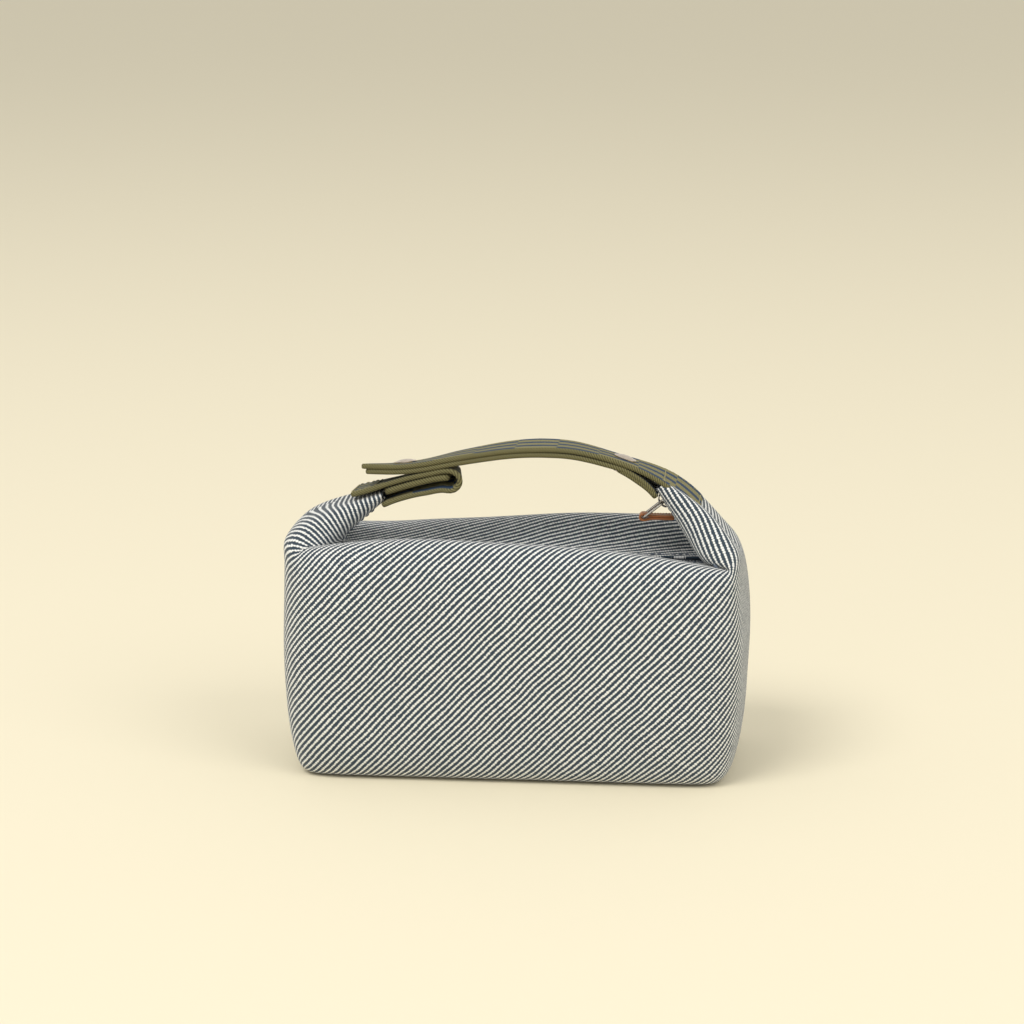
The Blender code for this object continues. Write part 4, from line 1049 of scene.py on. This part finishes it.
# ---- Snaps, slider and pull ----------------------------------------------------------------
def turned(name, outline, place, finish, segments=56):
    """A closed solid of revolution about place's own Z, from (radius, height) pairs in mm, axis to axis."""
    points, faces = [], []
    rows = len(outline)
    for step in range(segments):
        angle = 2 * math.pi * step / segments
        for radius, height in outline:
            points.append(place @ Vector((radius * math.cos(angle), radius * math.sin(angle), height)))
    for step in range(segments):
        after = (step + 1) % segments
        for row in range(rows - 1):
            here, there = step * rows + row, after * rows + row
            faces.append((here, there, there + 1, here + 1))
    made = mesh_object(name, np.array(points) * MM, faces, finish)
    welded(made.data)
    return made


def welded(mesh, angle=35.0):
    outside(mesh, True)
    mesh.shade_smooth()
    mesh.set_sharp_from_angle(angle=math.radians(angle))


def strap_place(line, rolls, x, away):
    """Matrix on a strap at a given X: its Z stands out of the strap's face."""
    line = np.array(line)
    i = int(np.abs(line[:, 0] - x).argmin())
    tangent = unit(np.gradient(line, axis=0))[i]
    roll = math.radians(float(np.interp(i / len(line), np.linspace(0, 1, len(rolls)), rolls)))
    normal = np.array((-tangent[1], 0.0, tangent[0]))
    lateral = ACROSS * math.cos(roll) - normal * math.sin(roll)
    forward = np.array((tangent[0], 0.0, tangent[1]))
    up = np.cross(forward, lateral)
    turn = Matrix([tuple(row) for row in np.column_stack([forward, lateral, up])]).to_4x4()
    centre = np.array((line[i, 0], 0.0, line[i, 1])) + up * away
    return Matrix.Translation(tuple(map(float, centre))) @ turn


CAP_OUTLINE = ((0.0, -0.9), (4.6, -0.9), (5.3, -0.35), (5.62, -0.05), (5.62, 0.32), (5.30, 0.62),
               (4.92, 0.70), (4.70, 0.62), (4.45, 0.72), (3.8, 1.02), (2.9, 1.28), (1.9, 1.44), (0.9, 1.52),
               (0.0, 1.55))
left_cap = turned("left_snap_button", CAP_OUTLINE, strap_place(top_line, ROLLS, -55.0, 0.35), snap_metal)
right_cap = turned("right_snap_button", CAP_OUTLINE, strap_place(top_line, ROLLS, 53.0, 0.35), snap_metal)


def tube(name, spots, radius, finish, sides=14):
    """A closed ring of round wire through 3-D places in mm."""
    spots = np.array(spots, float)
    ways = unit(np.roll(spots, -1, axis=0) - np.roll(spots, 1, axis=0))
    middle = spots.mean(axis=0)
    points = []
    for spot, way in zip(spots, ways):
        away = spot - middle
        away = unit(away - way * (away @ way))
        third = np.cross(way, away)
        for k in range(sides):
            angle = 2 * math.pi * k / sides
            points.append(spot + (away * math.cos(angle) + third * math.sin(angle)) * radius)
    count = len(points)
    faces = [[v % count for v in face] for face in ring_faces(len(spots) + 1, sides)]
    made = mesh_object(name, np.array(points) * MM, faces, finish)
    welded(made.data, 60.0)
    return made


SLIDER_CENTRE = np.array((72.53, 0.0, 132.86))
SLIDER_SLOPE = math.radians(55.0)
SLIDER_UP = np.array((-math.cos(SLIDER_SLOPE), 0.0, math.sin(SLIDER_SLOPE)))
SLIDER_OUT = np.array((-math.sin(SLIDER_SLOPE), 0.0, -math.cos(SLIDER_SLOPE)))


def on_slider(x, y, z):
    return SLIDER_CENTRE + SLIDER_UP * x + ACROSS * y + SLIDER_OUT * z


def bar_loop(points, faces, outline, low, high):
    """Adds a bevelled plate: an outline of (x, y) between two heights, in the slider's own directions."""
    first, count = len(points), len(outline)
    rim = 0.22
    rows = ((low, rim), (low + rim * 0.5, rim * 0.15), (low + rim, 0.0))
    rows += ((high - rim, 0.0), (high - rim * 0.5, rim * 0.15), (high, rim))
    middle = np.mean(outline, axis=0)
    for height, inset in rows:
        for x, y in outline:
            away = unit(np.array((x, y)) - middle)
            points.append(on_slider(x - away[0] * inset, y - away[1] * inset, height))
    faces += end_caps(len(rows), count, first) + ring_faces(len(rows), count, first)


# Half the slider's plate: broad shoulders at the open end and a narrower tail.
PLATE_HALF = ((-4.4, 2.6), (-3.6, 3.2), (-1.5, 3.3), (0.8, 3.7), (2.6, 4.15), (3.7, 3.9), (4.3, 3.0),
              (4.5, 1.6))
ARCH_HALF = ((-3.3, -0.8), (-3.35, 0.6), (-3.0, 1.9), (-2.1, 2.65), (-0.8, 2.95))
ARCH_SECTION = ((-0.95, 0.0), (-0.8, 0.32), (-0.4, 0.45), (0.4, 0.45), (0.8, 0.32), (0.95, 0.0), (0.8, -0.32),
                (0.4, -0.45), (-0.4, -0.45), (-0.8, -0.32))


def make_slider():
    """Two plates joined by a post, with flanges beside the teeth and an arch that holds the link."""
    points, faces = [], []
    plate = [*PLATE_HALF, *[(x, -y) for x, y in PLATE_HALF[::-1]]]
    bar_loop(points, faces, plate, -1.20, -0.35)
    bar_loop(points, faces, plate, -3.75, -2.95)
    bar_loop(points, faces, [(2.0, 0.5), (3.9, 0.8), (3.9, -0.8), (2.0, -0.5)], -3.2, -0.8)
    for side in (-1, 1):
        flange = [(-4.0, side * 3.05), (2.6, side * 3.95), (2.6, side * 3.35), (-4.0, side * 2.45)]
        bar_loop(points, faces, flange[::side], -1.75, -0.95)
        bar_loop(points, faces, flange[::side], -3.2, -2.45)
    arch = curve_through([*ARCH_HALF, *[(-x, z) for x, z in ARCH_HALF[::-1]]], 0.35)
    first, rings, sides = len(points), len(arch), len(ARCH_SECTION)
    for (x, z), (way_x, way_z) in zip(arch, unit(np.gradient(arch, axis=0))):
        for y, out in ARCH_SECTION:
            points.append(on_slider(x - way_z * out, y, z + way_x * out))
    faces += ring_faces(rings, sides, first) + end_caps(rings, sides, first)
    made = mesh_object("slider_body", np.array(points) * MM, faces, pull_metal)
    welded(made.data)
    return made


slider_body = make_slider()

PIN = on_slider(0.0, 0.0, 1.325)
LINK_LENGTH, LINK_HALF, LINK_CORNER = 12.5, 3.9, 1.6
LINK_ANGLE = math.radians(219)
LINK_WAY = np.array((math.cos(LINK_ANGLE), 0.0, math.sin(LINK_ANGLE)))
BAR = PIN + LINK_WAY * LINK_LENGTH


def link_spots():
    """A rounded oblong from the pin to the bar, drawn in slightly at its waist."""
    spots = []
    corners = ((LINK_LENGTH, 1), (0.0, 1), (0.0, -1), (LINK_LENGTH, -1))
    for turn, (x, side) in enumerate(corners):
        centre_x = x - LINK_CORNER if x else LINK_CORNER
        centre_y = side * (LINK_HALF - LINK_CORNER)
        for step in range(7):
            angle = math.pi / 2 * (turn + step / 6)
            across = centre_y + LINK_CORNER * math.sin(angle)
            spots.append((centre_x + LINK_CORNER * math.cos(angle), across))
    return [PIN + LINK_WAY * x + ACROSS * y for x, y in spots]


pull_ring = tube("pull_ring", link_spots(), 0.62, pull_metal)

LEATHER_HALF = ((15.2, 0.58), (11.5, 0.60), (8.0, 0.58), (5.0, 0.56), (3.1, 0.80), (1.8, 1.22), (0.7, 1.42),
                (-0.6, 1.34), (-1.35, 0.7))
leather_loop = [*LEATHER_HALF, (-1.5, 0.0), *[(x, -z) for x, z in LEATHER_HALF[::-1]]]
leather_line = [(BAR[0] + x, BAR[2] + z) for x, z in leather_loop]
leather_strip = strap("leather_strip", leather_line, (0.0, 0.0), leather, 6.0, 1.08, rib=0.0)


SEAM_HALF = 2.1  # mm from the leather's middle to a row of stitches
SEAM_RISE = 1.12


def leather_stitches():
    places, ways, outs = [], [], []
    for face in (-1, 1):
        rows = [((x, side * SEAM_HALF), (1, 0, 0)) for side in (-1, 1) for x in np.arange(4.4, 14.2, 1.35)]
        rows += [((14.1, y), (0, 1, 0)) for y in (-1.3, 0.0, 1.3)]
        for (x, y), way in rows:
            places.append(BAR + np.array((x, y, face * SEAM_RISE)))
            ways.append(way)
            outs.append((0, 0, face))
    return placed("leather_stitching", places, ways, outs, STITCH, (1.05, 0.5, 0.5), tan_thread, 0.08)


leather_seam = leather_stitches()


def strap_stitches(name, line, rolls, first, last, away, half_width=12.4):
    """Stitches round an oblong on a strap's face, between two X places."""
    spots, ways, outs = [], [], []

    def put(x, y, way):
        place = strap_place(line, rolls, x, away)
        spots.append(tuple(place @ Vector((0, y, 0))))
        turn = place.to_3x3()
        ways.append(tuple(turn.col[0] if way == "along" else turn.col[1]))
        outs.append(tuple(turn.col[2]))

    for x in np.arange(first, last, 2.6):
        for y in (-half_width, half_width):
            put(float(x), y, "along")
    for y in np.arange(-half_width + 1.5, half_width - 1.0, 2.6):
        for x in (first - 0.8, last + 0.4):
            put(float(x), float(y), "across")
    return placed(name, spots, ways, outs, STITCH, (2.1, 0.75, 0.75), olive_thread, 0.07)


tab_curve = curve_through(tab_line[: len(TAB_TOP)], 1.0)
tab_seam = strap_stitches("left_tab_stitching", tab_curve, (4.0, 6.0, 8.0), -78.0, -68.0, 1.32)
end_seam = strap_stitches("right_strap_stitching", top_line, ROLLS, 72.5, 88.0, 0.06)
front_seam = make_zip_stitches(front_edge, front_out, -1, "front_zip_stitching")
back_seam = make_zip_stitches(back_edge, back_out, 1, "back_zip_stitching")
for shape in (STITCH, TOOTH):
    bpy.data.objects.remove(shape)


# ---- Bodies, hidden parts and the closing --------------------------------------------------
for piece, body, slot, nodes in (
    (front_cloth, "case", "twill", ("front_panel",)),
    (back_cloth, "case", "twill", ("back_panel",)),
    (left_tab, "case", "webbing", ("left_tab_webbing",)),
    (tab_core, "case", "webbing", ("left_tab_core",)),
    (tip_fold, "case", "webbing", ("right_tab_webbing",)),
    (zip_tapes[-1], "case", "zip_tape", ("zip_tape_front",)),
    (zip_tapes[1], "case", "zip_tape", ("zip_tape_back",)),
    (zip_teeth[-1], "case", "zip_teeth", ("zip_chain_front",)),
    (zip_teeth[1], "case", "zip_teeth", ("zip_chain_back",)),
    (left_cap, "handle", "snap_metal", ("left_snap_cap",)),
    (right_cap, "handle", "snap_metal", ("right_snap_cap",)),
    (slider_body, "slider", "pull_metal", ("zip_slider",)),
    (pull_ring, "link", "pull_metal", ("pull_link",)),
    (leather_strip, "leather", "pull_leather", ("pull_leather",)),
    (leather_seam, "leather", "pull_leather", ()),
    (tab_seam, "case", "webbing", ()),
    (end_seam, "case", "webbing", ()),
    (front_seam, "case", "twill", ()),
    (back_seam, "case", "twill", ()),
):
    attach(piece, body)
    if nodes:
        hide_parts(*nodes)
for piece, nodes in (
    (upper_strap, ("handle_webbing_upper", "right_strap_end")),
    (lower_strap, ("handle_webbing_lower",)),
):
    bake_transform(piece)
    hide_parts(*nodes)

for finish, nodes in (
    (lining_finish, ("lining_front", "lining_back")),
    (teeth_metal, ("zip_top_stop", "zip_bottom_stop")),
    (snap_metal, ("left_snap_stud", "left_snap_socket", "right_snap_washer")),
):
    for node in nodes:
        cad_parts[node].data.materials.clear()
        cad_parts[node].data.materials.append(finish)


# ---- Floor, light and camera ---------------------------------------------------------------
def add_floor():
    floor = Finish("pale floor", 0.9)
    floor.colour((0.80, 0.74, 0.57))
    half = 40.0
    corners = [(-half, -half, 0), (half, -half, 0), (half, half, 0), (-half, half, 0)]
    mesh_object("floor", corners, [(0, 1, 2, 3)], floor.made)


LAMP_COLOUR = (1.0, 0.97, 0.93)


def add_light(name, place, aim, power, size):
    data = bpy.data.lights.new(name, "AREA")
    data.shape, data.size, data.energy, data.color = "DISK", size, power, LAMP_COLOUR
    made = in_scene(name, data)
    made.location = place
    made.rotation_euler = (Vector(aim) - Vector(place)).to_track_quat("-Z", "Y").to_euler()


def add_world():
    world = bpy.data.worlds.new("studio")
    bpy.context.scene.world = world
    world.use_nodes = True
    background = world.node_tree.nodes["Background"]
    background.inputs["Color"].default_value = (0.95, 0.93, 0.88, 1.0)
    background.inputs["Strength"].default_value = 0.78


def add_camera():
    """85 mm lens from the front, a little to the right and above."""
    target = Vector((0, 0, 0.060))
    azimuth, elevation, distance = math.radians(5.0), math.radians(16.0), 1.2
    level = math.cos(elevation)
    back = Vector((math.sin(azimuth) * level, -math.cos(azimuth) * level, math.sin(elevation)))
    data = bpy.data.cameras.new("camera")
    data.lens, data.sensor_width = 85.0, 36.0
    made = in_scene("camera", data)
    made.location = target + back * distance
    turn = (-back).to_track_quat("-Z", "Y").to_matrix()
    turn = turn @ Matrix.Rotation(math.radians(3.03), 3, "X") @ Matrix.Rotation(math.radians(0.12), 3, "Y")
    made.rotation_euler = turn.to_euler()
    bpy.context.scene.camera = made


add_floor()
add_world()
add_light("key", (-1.6, -2.2, 3.6), (0, 0, 0.05), 94.0, 2.2)
add_light("fill", (2.4, -2.0, 2.6), (0, 0, 0.05), 42.0, 2.6)
add_camera()
bpy.context.scene.view_settings.view_transform = "Standard"
